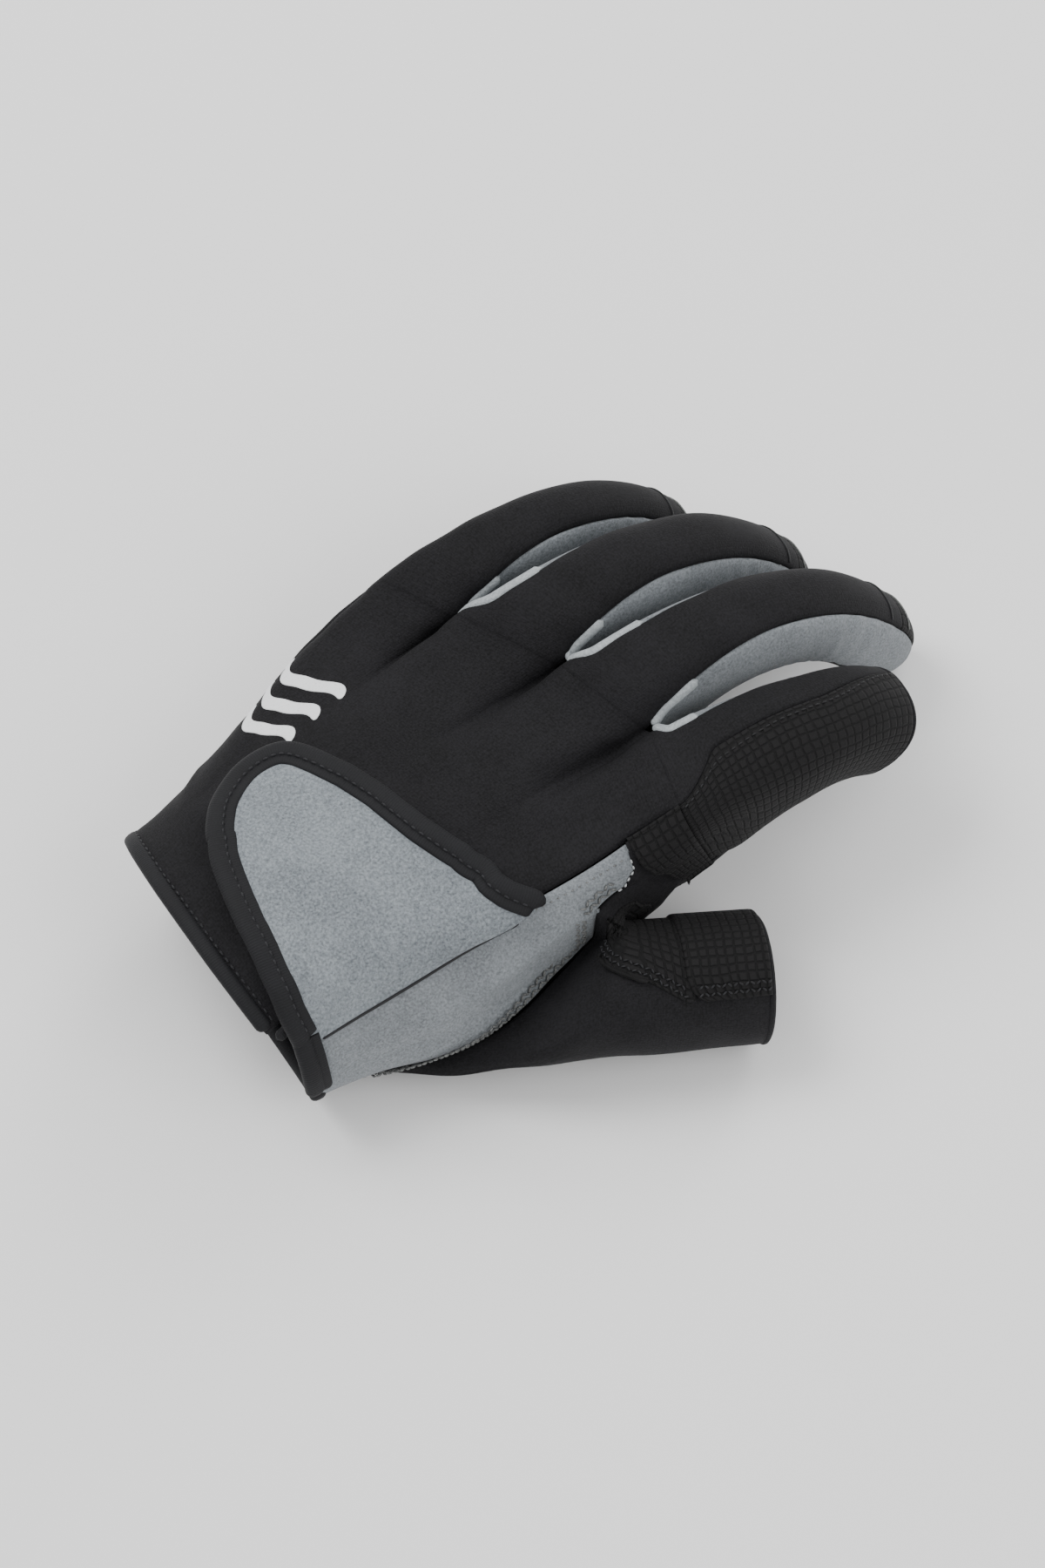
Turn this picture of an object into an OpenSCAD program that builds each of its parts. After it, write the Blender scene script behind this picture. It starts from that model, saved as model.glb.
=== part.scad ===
// Left-hand long-finger sailing glove, worn shape, lying palm down.
// The frame: +X towards the fingertips, +Y towards the little finger, +Z out of the back of the hand.

/* [Fabric] */
// Thickness of the knit, suede and palm fabric
fabric_t = 1.5; // [1.2:0.1:2]
// Thickness of the grip, hook and loop patches
patch_t = 1; // [0.8:0.1:1.4]
// Clear gap kept between stitched panels
seam_gap = 0.3; // [0.2:0.05:0.5]
// Width of the rounded edge binding on the tab
binding_w = 4.6; // [3.6:0.1:5.4]

/* [Fingers: index, middle, ring, little] */
// Centre line at the root, across the hand
root_y = [-18.2, 8.2, 32.4, 53.8]; // [-60:0.1:60]
// Centre line at the tip, across the hand
tip_y = [-18.5, 7.5, 33, 57]; // [-60:0.1:60]
// Reach of each tip along the hand
tip_x = [67.5, 90, 77.5, 61.5]; // [40:0.5:100]
// Height of the centre line at the root
root_z = [38, 39, 38, 35.5]; // [25:0.5:45]
// Height of the curve's shoulder over the knuckle
shoulder_z = [43.5, 52, 51, 47.5]; // [30:0.5:55]
// Height of the centre line at the tip
tip_z = [29, 0.4, 0.4, 0.9]; // [0:0.1:40]
// Half width at the root
half_w = [13.8, 12.2, 12.1, 9.6]; // [8:0.1:16]
// Half height above the centre line at the root
half_up = [12.2, 12, 11.7, 9.6]; // [8:0.1:16]
// Half height below the centre line at the root
half_low = [19, 12, 11.7, 10.6]; // [8:0.1:22]
// Width of the tip as a share of the root
tip_scale = [0.84, 0.8, 0.8, 0.84]; // [0.6:0.01:1]
// Depth of the tip below its centre line as a share of the root
low_scale = [0.66, 0.8, 0.8, 0.84]; // [0.5:0.01:1]

/* [Crotches] */
// Crotch positions along the hand: index to middle, middle to ring, ring to little
crotch_x = [18.5, 10.5, -3]; // [-20:0.5:30]
// Where the index root ends on the thumb side
radial_x = 13; // [5:0.5:20]
// Where the little finger root ends on the outer side
ulnar_x = -13; // [-20:0.5:0]

/* [Cuff] */
// Centre of the cuff opening
cuff_centre = [-90, 3.5, 22]; // [-110:0.5:40]
// Half width and half height of the cuff opening
cuff_half = [35.5, 21]; // [15:0.5:45]

/* [Thumb] */
// Centre of the ring where the thumb stall starts
thumb_root = [-12, -46.8, 17.9]; // [-60:0.1:30]
// Centre of the open thumb end
thumb_end = [14.5, -57.2, 14.8]; // [-70:0.1:30]
// Radius of the thumb stall at its root and at its open end
thumb_r = [14.8, 14.4]; // [10:0.1:20]

// How far the base of the thumb swells the side of the hand
thenar_out = 10.5; // [4:0.5:14]

/* [Motion] */
// Clear space at each knuckle: above the hinge line and below it
knuckle_gap = [6, 14]; // [4:0.5:16]
// Clear space each side of the thumb hinge
thumb_gap = 4; // [3:0.5:6]

/* [Hidden] */
INDEX = 0;
MIDDLE = 1;
RING = 2;
LITTLE = 3;
black_knit = [0.13, 0.13, 0.14];
grip_black = [0.09, 0.09, 0.1];
grey_suede = [0.66, 0.69, 0.71];
binding_black = [0.07, 0.07, 0.08];
// the glove's bounding box is centred on the origin
recentre = [2.5, 3.1, 0];

// ---------- small helpers ----------
function lerp(a, b, t) = a + (b - a) * t;
function smooth(a, b, x) = let (t = min(1, max(0, (x - a) / (b - a)))) t * t * (3 - 2 * t);
function signed_pow(c, p) = sign(c) * pow(abs(c), p);
function unit(v) = v / max(norm(v), 1e-9);
function bump(x, centre, width) = exp(-pow((x - centre) / width, 2));
function bezier(p, t) = let (q = 1 - t)
  q * q * q * p[0] + 3 * q * q * t * p[1] + 3 * q * t * t * p[2] + t * t * t * p[3];
function bezier_slope(p, t) = let (q = 1 - t)
  3 * q * q * (p[1] - p[0]) + 6 * q * t * (p[2] - p[1]) + 3 * t * t * (p[3] - p[2]);
// closed smooth curve through a few points, t from 0 to 1
function wrap_index(i, n) = ((i % n) + n) % n;
function closed_curve(pts, t) =
  let (n = len(pts), u = (t - floor(t)) * n, i = floor(u), f = u - i,
       a = pts[wrap_index(i - 1, n)], b = pts[wrap_index(i, n)],
       c = pts[wrap_index(i + 1, n)], d = pts[wrap_index(i + 2, n)])
  0.5 * (2 * b + (c - a) * f + (2 * a - 5 * b + 4 * c - d) * f * f + (3 * b - a - 3 * c + d) * f * f * f);

// ---------- the skin between two grids of points ----------
function flatten(g) = [for (row = g) for (p = row) p];
// outer and inner are grids of the same size; wrap joins the last column to the first
module skin(outer, inner, wrap = false) {
  rows = len(outer);
  cols = len(outer[0]);
  cells = wrap ? cols : cols - 1;
  size = rows * cols;
  mid_j = floor(cols / 2) - 1;
  across = cross(outer[1][mid_j] - outer[0][mid_j], outer[0][mid_j + 1] - outer[0][mid_j]);
  turn = across * (outer[0][mid_j] - inner[0][mid_j]) > 0;
  at = function (i, j, side) side * size + i * cols + (j % cols);
  quad = function (a, b, c, d) [[a, b, c], [a, c, d]];
  faces = [
    for (i = [0:rows - 2]) for (j = [0:cells - 1]) for (f = concat(
      quad(at(i, j, 0), at(i, j + 1, 0), at(i + 1, j + 1, 0), at(i + 1, j, 0)),
      quad(at(i, j, 1), at(i + 1, j, 1), at(i + 1, j + 1, 1), at(i, j + 1, 1)))) f,
    for (j = [0:cells - 1]) for (f = concat(
      quad(at(0, j, 0), at(0, j, 1), at(0, j + 1, 1), at(0, j + 1, 0)),
      quad(at(rows - 1, j, 0), at(rows - 1, j + 1, 0), at(rows - 1, j + 1, 1), at(rows - 1, j, 1)))) f,
    if (!wrap) for (i = [0:rows - 2]) for (f = concat(
      quad(at(i, 0, 0), at(i + 1, 0, 0), at(i + 1, 0, 1), at(i, 0, 1)),
      quad(at(i, cols - 1, 0), at(i, cols - 1, 1), at(i + 1, cols - 1, 1), at(i + 1, cols - 1, 0)))) f
  ];
  polyhedron(concat(flatten(outer), flatten(inner)),
             turn ? faces : [for (f = faces) [f[0], f[2], f[1]]]);
}
// a solid through closed loops of points, capped at both ends
module loops_solid(loops) {
  rows = len(loops);
  n = len(loops[0]);
  middle = function (loop)
    [for (sum = [0, 0, 0], i = 0; i < n; sum = sum + loop[i], i = i + 1) sum][n - 1] / (n - 1);
  faces = [
    for (i = [0:rows - 2]) for (j = [0:n - 1]) let (k = (j + 1) % n) for (f = [
      [i * n + j, i * n + k, (i + 1) * n + k], [i * n + j, (i + 1) * n + k, (i + 1) * n + j]]) f,
    for (j = [0:n - 1]) let (k = (j + 1) % n) [rows * n, k, j],
    for (j = [0:n - 1]) let (k = (j + 1) % n) [rows * n + 1, (rows - 1) * n + j, (rows - 1) * n + k]
  ];
  first = middle(loops[0]);
  last = middle(loops[rows - 1]);
  axis = loops[1][0] - loops[0][0];
  turn = cross(loops[0][0] - first, loops[0][1] - first) * axis > 0;
  polyhedron(concat(flatten(loops), [first, last]),
             turn ? [for (f = faces) [f[0], f[2], f[1]]] : faces);
}
// moves a grid along its own outward direction
function shifted(g, d, wrap = false) =
  let (rows = len(g), cols = len(g[0]))
  [for (i = [0:rows - 1]) [for (j = [0:cols - 1])
    let (i0 = max(0, i - 1), i1 = min(rows - 1, i + 1),
         j0 = wrap ? (j + cols - 1) % cols : max(0, j - 1),
         j1 = wrap ? (j + 1) % cols : min(cols - 1, j + 1))
    g[i][j] + d * unit(cross(g[i1][j] - g[i0][j], g[i][j1] - g[i][j0]))]];
module sheet(g, from, to, wrap = false) { skin(shifted(g, to, wrap), shifted(g, from, wrap), wrap); }

// ---------- fingers ----------
edge_y = [root_y[0] - half_w[0],
  for (k = [0:2]) (root_y[k] + half_w[k] + root_y[k + 1] - half_w[k + 1]) / 2,
  root_y[3] + half_w[3]];
edge_x = [radial_x, crotch_x[0], crotch_x[1], crotch_x[2], ulnar_x];
root_x = [for (k = [0:3]) (edge_x[k] + edge_x[k + 1]) / 2];
root_slope = [for (k = [0:3]) (edge_x[k + 1] - edge_x[k]) / (edge_y[k + 1] - edge_y[k])];
line_x = [for (k = [0:3])
  [root_x[k], lerp(root_x[k], tip_x[k], 0.33), lerp(root_x[k], tip_x[k], 0.73), tip_x[k]]];
line_z = [for (k = [0:3]) [root_z[k], shoulder_z[k], shoulder_z[k] - (k == LITTLE ? 2 : 0.5), tip_z[k]]];
dome_start = 0.85;
dome_power = 2.6;
// the section is squarish at the root and rounder towards the tip
function section_power(s) = lerp(4, 2.3, smooth(0, 0.45, s));
// angle where the back panel turns into the finger's side strip
function side_angle(s) = lerp(20, 46, smooth(0, 0.45, s));
function finger_pt(k, s, th, off = 0) =
  let (dx = bezier_slope(line_x[k], s), dz = bezier_slope(line_z[k], s), n = norm([dx, dz]),
       q = k == INDEX ? 0 : max(0, (s - dome_start) / (1 - dome_start)),
       dome = sqrt(max(0, 1 - pow(q, dome_power))),
       joint_swell = 0.03 * bump(s, 0.45, 0.16),
       wide = (lerp(1, tip_scale[k], s) + joint_swell) * dome,
       low = (lerp(1, low_scale[k], s) + joint_swell) * dome,
       p = 2 / section_power(s), cy = signed_pow(cos(th), p), cz = signed_pow(sin(th), p),
       a = max(0.4, half_w[k] * wide + off),
       b = max(0.4, (cz > 0 ? half_up[k] * wide : half_low[k] * low) + off),
       skew = root_slope[k] * (1 - smooth(0, 0.4, s)))
  [bezier(line_x[k], s) - dz / n * b * cz + skew * a * cy,
   lerp(root_y[k], tip_y[k], s) + a * cy,
   bezier(line_z[k], s) + dx / n * b * cz];
// position along a finger whose centre line is at x
function s_at(k, x, lo = 0, hi = 1, step = 0) =
  let (m = (lo + hi) / 2)
  step > 14 ? m : bezier(line_x[k], m) < x ? s_at(k, x, m, hi, step + 1) : s_at(k, x, lo, m, step + 1);

// each knuckle hinge lies just beyond the further of the finger's two crotches
hinge_x = [for (k = [0:3])
  max(k == LITTLE ? crotch_x[2] : crotch_x[k], k == INDEX ? -99 : crotch_x[max(0, k - 1)]) + 7];
// the deeper index finger needs a longer gap below its hinge
function gap_at(k, th) = lerp(knuckle_gap[1] + (k == INDEX ? 3 : 0), knuckle_gap[0], (sin(th) + 1) / 2);
function finger_start(k, th) = s_at(k, hinge_x[k] + gap_at(k, th));
function stub_end(k, th) = s_at(k, hinge_x[k] - lerp(3.5, 0.5, (sin(th) + 1) / 2));

// strips of a finger, as angles round it: [start, share of side_angle, end, share of side_angle]
BACK = [0, 1, 180, -1];
OUTER_SIDE = [0, -1, 0, 1];
INNER_SIDE = [180, -1, 180, 1];
PALM = [180, 1, 360, -1];
LITTLE_BACK = [0, 0, 180, -1];
LITTLE_PALM = [180, 1, 360, 0];
INDEX_BACK = [0, 1, 150, 0];
INDEX_PALM = [150, 0, 360, -1];
seam_angle = 0.9;
function strip_angle(strip, s, v) = let (e = side_angle(s))
  lerp(strip[0] + strip[1] * e + seam_angle, strip[2] + strip[3] * e - seam_angle, v);
function finger_grid(k, strip, s_end, rows, cols, off) =
  [for (i = [0:rows]) [for (j = [0:cols])
    let (th0 = strip_angle(strip, 0.3, j / cols), s = lerp(finger_start(k, th0), s_end, i / rows))
    finger_pt(k, s, strip_angle(strip, s, j / cols), off)]];
module finger_strip(k, strip, s_end, rows = 9, cols = 8) {
  skin(finger_grid(k, strip, s_end, rows, cols, 0), finger_grid(k, strip, s_end, rows, cols, -fabric_t));
}
// short root of a finger that stays on the hand, let into the panel it grows from
stub_inset = 0.1;
function stub_grid(k, strip, rows, cols, off) =
  [for (i = [0:rows]) [for (j = [0:cols])
    let (th0 = strip_angle(strip, 0, j / cols), s = lerp(-0.03, stub_end(k, th0), i / rows))
    finger_pt(k, s, strip_angle(strip, max(0, s), j / cols), off)]];
module finger_stub(k, strip, cols = 8) {
  skin(stub_grid(k, strip, 3, cols, -stub_inset), stub_grid(k, strip, 3, cols, stub_inset - fabric_t));
}
// closed fingertip cap
cap_seam = 0.865;
module finger_cap(k) {
  cols = 18;
  outer_s = [cap_seam, 0.9, 0.935, 0.965, 0.986, 0.997];
  inner_s = [cap_seam, 0.9, 0.93, 0.953, 0.968, 0.976];
  rows_out = [for (s = outer_s) [for (j = [0:cols - 1]) finger_pt(k, s, 360 * j / cols)]];
  rows_in = [for (s = inner_s) [for (j = [0:cols - 1]) finger_pt(k, s, 360 * j / cols, -fabric_t)]];
  difference() {
    loops_solid(rows_out);
    loops_solid(concat([[for (p = rows_in[0]) p - [4, 0, 0]]], rows_in));
  }
}

// ---------- palm ----------
// u runs round the hand: 0 to 1 over the back, 1 to 2 outer side, 2 to 3 palm, 3 to 4 thumb side
function cuff_pt(u) =
  let (w = u - 4 * floor(u / 4), th = lookup(w, [[0, 148], [1, 32], [2, -32], [3, -148], [4, -212]]),
       y = cuff_half[0] * signed_pow(cos(th), 2 / 2.3), z = cuff_half[1] * signed_pow(sin(th), 2 / 2.3))
  cuff_centre + [-0.06 * y - 0.27 * z - 0.8 * pow(max(0, sin(th)), 2), y, z];
// the far end follows the four finger roots
function root_pt(u) =
  let (w = u - 4 * floor(u / 4), e = side_angle(0), arc = 180 - 2 * e)
  w < 1 ? let (k = min(3, floor(w * 4))) finger_pt(k, 0, 180 - e - (w * 4 - k) * arc) :
  w < 2 ? finger_pt(LITTLE, 0, e - (w - 1) * 2 * e) :
  w < 3 ? let (k = 3 - min(3, floor((w - 2) * 4))) finger_pt(k, 0, -e - ((w - 2) * 4 - (3 - k)) * arc) :
  finger_pt(INDEX, 0, -180 + e - (w - 3) * 2 * e);
span_y = [edge_y[0], root_y[0], root_y[1], root_y[2], root_y[3], edge_y[4]];
function across(values, y) = lookup(y, [
  [span_y[0], values[0]], [span_y[1], values[0]], [span_y[2], values[1]],
  [span_y[3], values[2]], [span_y[4], values[3]], [span_y[5], values[3]]]);
// the same end without the dips between the fingers
function smooth_root_pt(u) =
  let (p = root_pt(u), w = u - 4 * floor(u / 4), up = w < 1.5 || w > 3.5,
       reach = min(1, abs(p[1] - (edge_y[0] + edge_y[4]) / 2) / ((edge_y[4] - edge_y[0]) / 2 + 0.3)),
       h = across(up ? half_up : half_low, p[1]) * pow(1 - pow(reach, 5), 0.2))
  [p[0], p[1], across(root_z, p[1]) + (up ? h : -h)];
function palm_pt(s, u) =
  let (w = u + 2 - 4 * floor((u + 2) / 4) - 2,
       a = cuff_pt(u), b = smooth_root_pt(u), c = root_pt(u), l = norm(b - a),
       round_at = lookup(w, [[-2, -32], [-1, -148], [0, -212], [1, -328], [2, -392]]),
       rise = lerp(-0.02, 0.24, (sin(round_at) + 1) / 2),
       go = unit([1, 0.17, rise]) * l, arrive = unit([1, 0, 0.4]) * l,
       h00 = 2 * pow(s, 3) - 3 * pow(s, 2) + 1, h10 = pow(s, 3) - 2 * pow(s, 2) + s,
       h01 = 3 * pow(s, 2) - 2 * pow(s, 3), h11 = pow(s, 3) - pow(s, 2),
       thenar = thenar_out * bump(s, 0.37, 0.31) * bump(w, -0.85, 0.5))
  h00 * a + h10 * go + h01 * b + h11 * arrive + smooth(0.62, 1, s) * (c - b) + thenar * [0, -1, -0.15];
seam_u = 0.006;
function palm_grid(s0, s1, u0, u1, rows, cols) =
  [for (i = [0:rows]) [for (j = [0:cols]) palm_pt(lerp(s0, s1, i / rows), lerp(u0, u1, j / cols))]];

// ---------- thumb ----------
// edge of the thumb hole in the palm, as [s, u] from the crotch over the top and round the heel
thumb_hole = [[0.93, -0.74], [0.81, -0.38], [0.7, -0.52], [0.56, -0.68], [0.4, -0.82], [0.22, -0.92],
              [0.1, -1.1], [0.15, -1.28], [0.34, -1.38], [0.58, -1.38], [0.8, -1.22]];
thumb_dir = unit(thumb_end - thumb_root);
thumb_len = norm(thumb_end - thumb_root);
thumb_side = unit(cross([0, 0, 1], thumb_dir));
thumb_up = cross(thumb_dir, thumb_side);
function thumb_pt(d, ph, off = 0) =
  thumb_root + thumb_dir * d
  + (lerp(thumb_r[0], thumb_r[1], d / thumb_len) + off) * (cos(ph) * thumb_side + sin(ph) * thumb_up);
function palm_normal(s, u) =
  unit(cross(palm_pt(s + 0.002, u) - palm_pt(s - 0.002, u), palm_pt(s, u + 0.002) - palm_pt(s, u - 0.002)));
function thenar_pt(t, ph) =
  let (at = closed_curve(thumb_hole, ph / 360),
       a = palm_pt(at[0], at[1]), b = thumb_pt(0, ph), l = norm(b - a),
       leave = (b - a) + palm_normal(at[0], at[1]) * 0.35 * l, arrive = thumb_dir * 1.3 * l)
  (2 * pow(t, 3) - 3 * pow(t, 2) + 1) * a + (pow(t, 3) - 2 * pow(t, 2) + t) * leave
  + (3 * pow(t, 2) - 2 * pow(t, 3)) * b + (pow(t, 3) - pow(t, 2)) * arrive;
function thumb_hole_ring(n, depth) =
  [for (j = [0:n - 1]) let (at = closed_curve(thumb_hole, j / n))
    palm_pt(at[0], at[1]) + depth * palm_normal(at[0], at[1])];
thenar_cols = 28;
thenar_rows = 9;
// the thumb hole, as a solid to take away from the panels round it
module thumb_hole_cutter() {
  rows = [for (i = [0:thenar_rows]) [for (j = [0:thenar_cols - 1])
    thenar_pt(i / thenar_rows, 360 * j / thenar_cols)]];
  grown = shifted(rows, -seam_gap, true);
  loops_solid(concat([thumb_hole_ring(thenar_cols, -7)], grown));
}
function thumb_grid(d0, d1, ph0, ph1, rows, cols, off) =
  [for (i = [0:rows]) [for (j = [0:cols]) thumb_pt(lerp(d0, d1, i / rows), lerp(ph0, ph1, j / cols), off)]];

// ---------- tab ----------
// outline of the closing tab on the back of the hand, as [s, u] from its tip round to the cuff end
tab_outline = [[0.605, 0.035], [0.5, 0.21], [0.466, 0.42], [0.44, 0.63], [0.36, 0.725], [0.235, 0.735],
               [0.165, 0.665], [0.108, 0.5], [0.067, 0.31], [0.036, 0.1], [0.05, -0.11], [0.3, -0.03]];
tab_centre = [0.28, 0.32];
tab_under = patch_t * 2 + 0.9;
// a square grid laid over a closed outline
function outline_grid(outline, centre, share, n, off) =
  [for (i = [-n:n]) [for (j = [-n:n])
    let (r = max(abs(i), abs(j)) / n, t = atan2(j, i) / 360,
         at = centre + share * r * (closed_curve(outline, t) - centre))
    palm_pt(at[0], at[1]) + off * palm_normal(at[0], at[1])]];
module outline_sheet(outline, centre, share, n, from, to) {
  skin(outline_grid(outline, centre, share, n, to), outline_grid(outline, centre, share, n, from));
}
function round_outline(centre, half) =
  [for (a = [0:30:330]) centre + [half[0] * signed_pow(cos(a), 0.6), half[1] * signed_pow(sin(a), 0.6)]];
// a rounded binding swept along a path of points with their outward directions
function binding_loops(path, outs, half_wide, half_thick, n = 8) =
  [for (i = [0:len(path) - 1])
    let (along = unit(path[min(len(path) - 1, i + 1)] - path[max(0, i - 1)]), out = outs[i],
         side = unit(cross(along, out)), up = cross(side, along))
    [for (j = [0:n - 1]) let (a = 360 * j / n) path[i] + half_wide * cos(a) * side + half_thick * sin(a) * up]];
tab_path_ends = [-0.01, 0.815];
function tab_path_at(t) = closed_curve(tab_outline, t);
module tab_edge(grow = 0) {
  steps = 40;
  ats = [for (i = [0:steps]) tab_path_at(lerp(tab_path_ends[0], tab_path_ends[1], i / steps))];
  outs = [for (at = ats) palm_normal(at[0], at[1])];
  path = [for (i = [0:steps]) palm_pt(ats[i][0], ats[i][1]) + (tab_under + fabric_t / 2) * outs[i]];
  loops_solid(binding_loops(path, outs, binding_w / 2 + grow, fabric_t / 2 + 0.45 + grow));
}

// ---------- hand ----------
// the back panel's thumb-side edge is cut back beside the wrist slit
function border_u(s) = 0.1 * min(s, 0.86);
function back_edge_u(s) = border_u(s) + seam_u + 0.07 * (1 - smooth(0.36, 0.44, s));
gusset_end = 0.86;
cuff_s = 0.022;
module back_panel() {
  rows = 15;
  cols = 40;
  color(black_knit) union() {
    sheet([for (i = [0:rows]) let (s = lerp(cuff_s, 1, i / rows)) [for (j = [0:cols])
      palm_pt(s, lerp(back_edge_u(s), 1.5 - seam_u, j / cols))]], -fabric_t, 0);
    for (k = [MIDDLE, RING]) finger_stub(k, BACK);
    finger_stub(INDEX, [0, 1, 109.4, 0]);
    finger_stub(LITTLE, LITTLE_BACK);
  }
}
module palm_panel() {
  rows = 17;
  cols = 34;
  color(grip_black) difference() {
    union() {
      sheet([for (i = [0:rows]) let (s = lerp(cuff_s, 1, i / rows)) [for (j = [0:cols])
        palm_pt(s, lerp(1.5 + seam_u, 3 - seam_u - 0.12 * bump(s, 0.78, 0.08), j / cols))]], -fabric_t, 0);
      for (k = [MIDDLE, RING]) finger_stub(k, PALM);
      finger_stub(LITTLE, LITTLE_PALM);
      finger_stub(INDEX, [200.4, 0, 360, -1]);
    }
    thumb_hole_cutter();
  }
}
// lift raises the strip's lower edge where the thumb hole takes its place
module thumb_side_sheet(s0, s1, rows, lift) {
  cols = 8;
  sheet([for (i = [0:rows]) let (s = lerp(s0, s1, i / rows)) [for (j = [0:cols])
    palm_pt(s, lerp(3 + seam_u + lift * smooth(0.5, 0.72, s), 4 + border_u(s) - seam_u, j / cols))]],
    -fabric_t, 0);
}
module side_gusset() {
  color(grey_suede) difference() {
    thumb_side_sheet(cuff_s, gusset_end, 14, 0.42);
    thumb_hole_cutter();
  }
}
// strip of grip fabric between the gusset and the index finger
module thumb_web() {
  color(grip_black) difference() {
    union() {
      thumb_side_sheet(gusset_end + 0.006, 1, 5, 0);
      finger_stub(INDEX, [114.3, 0, 199.6, 0]);
    }
    thumb_hole_cutter();
  }
}
module thenar_panel() {
  stop = 1 - (thumb_gap / 34);
  rows = [for (i = [0:thenar_rows]) [for (j = [0:thenar_cols - 1])
    thenar_pt(lerp(0.03, stop, i / thenar_rows), 360 * j / thenar_cols)]];
  color(black_knit) skin(rows, shifted(rows, fabric_t, true), true);
}
// the V at a crotch: outer side of finger k, round the crotch, inner side of its neighbour
module crotch_web(k) {
  steps = 3;
  cols = 5;
  low = k == INDEX ? -9 : -16;
  high = 11;
  side_k = function (i, j, off) let (th = lerp(low, high, j / cols),
    s = stub_end(k, th) * i / steps) finger_pt(k, s, th, off);
  side_n = function (i, j, off) let (th = lerp(low, high, j / cols),
    s = stub_end(k + 1, 180 - th) * i / steps) finger_pt(k + 1, s, 180 - th, off);
  ring = function (off, back) [
    for (i = [steps:-1:0]) [for (j = [0:cols]) side_k(i, j, off)],
    [for (j = [0:cols]) (side_k(0, j, off) + side_n(0, j, off)) / 2 - [back, 0, 0]],
    for (i = [0:steps]) [for (j = [0:cols]) side_n(i, j, off)]];
  color(grey_suede) skin(ring(-seam_gap / 2, 0.1), ring(-fabric_t, fabric_t));
}
module web_index_middle() { crotch_web(INDEX); }
module web_middle_ring() { crotch_web(MIDDLE); }
module web_ring_little() { crotch_web(RING); }
// padded heel patch with a flat underside that the glove rests on
module heel_patch() {
  top = shifted(palm_grid(0.05, 0.27, 2.1, 2.64, 8, 8), seam_gap / 2);
  color(grip_black) skin([for (row = top) [for (p = row) [p[0], p[1], 0]]], top);
}
module loop_patch() {
  color(binding_black) outline_sheet(round_outline([0.29, 0.4], [0.1, 0.17]), [0.29, 0.4], 1, 5,
    0.2, 0.2 + patch_t);
}
module cuff_binding() {
  steps = 52;
  us = [for (i = [0:steps]) lerp(0.075, 3.985, i / steps)];
  outs = [for (u = us) palm_normal(0.004, u)];
  path = [for (i = [0:steps]) palm_pt(0, us[i]) - fabric_t / 2 * outs[i]];
  color(binding_black) loops_solid(binding_loops(path, outs, 1.5, fabric_t / 2 + 0.4));
}
module slit_binding() {
  steps = 10;
  ss = [for (i = [0:steps]) lerp(0.022, 0.36, i / steps)];
  outs = [for (s = ss) palm_normal(s, back_edge_u(s))];
  path = [for (i = [0:steps]) palm_pt(ss[i], back_edge_u(ss[i]) - 0.045) - fabric_t / 2 * outs[i]];
  color(binding_black) loops_solid(binding_loops(path, outs, 1.1, fabric_t / 2 + 0.3));
}
// start of the index grip patch, on the hand side of the knuckle
module index_patch_root() {
  color(grip_black) sheet(palm_grid(0.87, 0.995, -0.48, 0.08, 4, 8), 0.8, 0.8 + patch_t);
}

// ---------- closing tab ----------
module tab_panel() {
  color(grey_suede) difference() {
    outline_sheet(tab_outline, tab_centre, 0.915, 7, tab_under, tab_under + fabric_t);
    tab_edge(0.2);
  }
}
module tab_binding() { color(binding_black) tab_edge(); }
module hook_patch() {
  color(binding_black) outline_sheet(round_outline([0.29, 0.42], [0.085, 0.14]), [0.29, 0.42], 1, 5,
    0.5 + patch_t, 0.5 + 2 * patch_t);
}

// ---------- index finger, cut short and open ----------
index_stop = 0.945;
module index_back() { color(black_knit) finger_strip(INDEX, INDEX_BACK, index_stop); }
module index_side() { color(grey_suede) finger_strip(INDEX, OUTER_SIDE, index_stop, 9, 5); }
module index_palm() { color(grip_black) finger_strip(INDEX, INDEX_PALM, index_stop, 9, 12); }
module index_patch() {
  rows = 8;
  cols = 8;
  grid = function (off) [for (i = [0:rows]) [for (j = [0:cols])
    let (th = lerp(118, 250, j / cols), s = lerp(finger_start(INDEX, th) + 0.01, index_stop, i / rows))
    finger_pt(INDEX, s, th, off)]];
  color(grip_black) skin(grid(0.25 + patch_t), grid(0.25));
}
module index_hem() {
  cols = 24;
  ring = function (off) [for (i = [0:2]) [for (j = [0:cols - 1])
    finger_pt(INDEX, lerp(index_stop + 0.006, 1, i / 2), 360 * j / cols, off)]];
  color(binding_black) skin(ring(0.5), ring(-fabric_t - 0.2), true);
}

// ---------- full-length fingers ----------
strip_stop = cap_seam - 0.006;
module middle_back() { color(black_knit) finger_strip(MIDDLE, BACK, strip_stop); }
module middle_side_outer() { color(grey_suede) finger_strip(MIDDLE, OUTER_SIDE, strip_stop, 9, 5); }
module middle_side_inner() { color(grey_suede) finger_strip(MIDDLE, INNER_SIDE, strip_stop, 9, 5); }
module middle_palm() { color(grip_black) finger_strip(MIDDLE, PALM, strip_stop); }
module middle_tip() { color(grip_black) finger_cap(MIDDLE); }
module ring_back() { color(black_knit) finger_strip(RING, BACK, strip_stop); }
module ring_side_outer() { color(grey_suede) finger_strip(RING, OUTER_SIDE, strip_stop, 9, 5); }
module ring_side_inner() { color(grey_suede) finger_strip(RING, INNER_SIDE, strip_stop, 9, 5); }
module ring_palm() { color(grip_black) finger_strip(RING, PALM, strip_stop); }
module ring_tip() { color(grip_black) finger_cap(RING); }
module little_back() { color(black_knit) finger_strip(LITTLE, LITTLE_BACK, strip_stop); }
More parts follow.
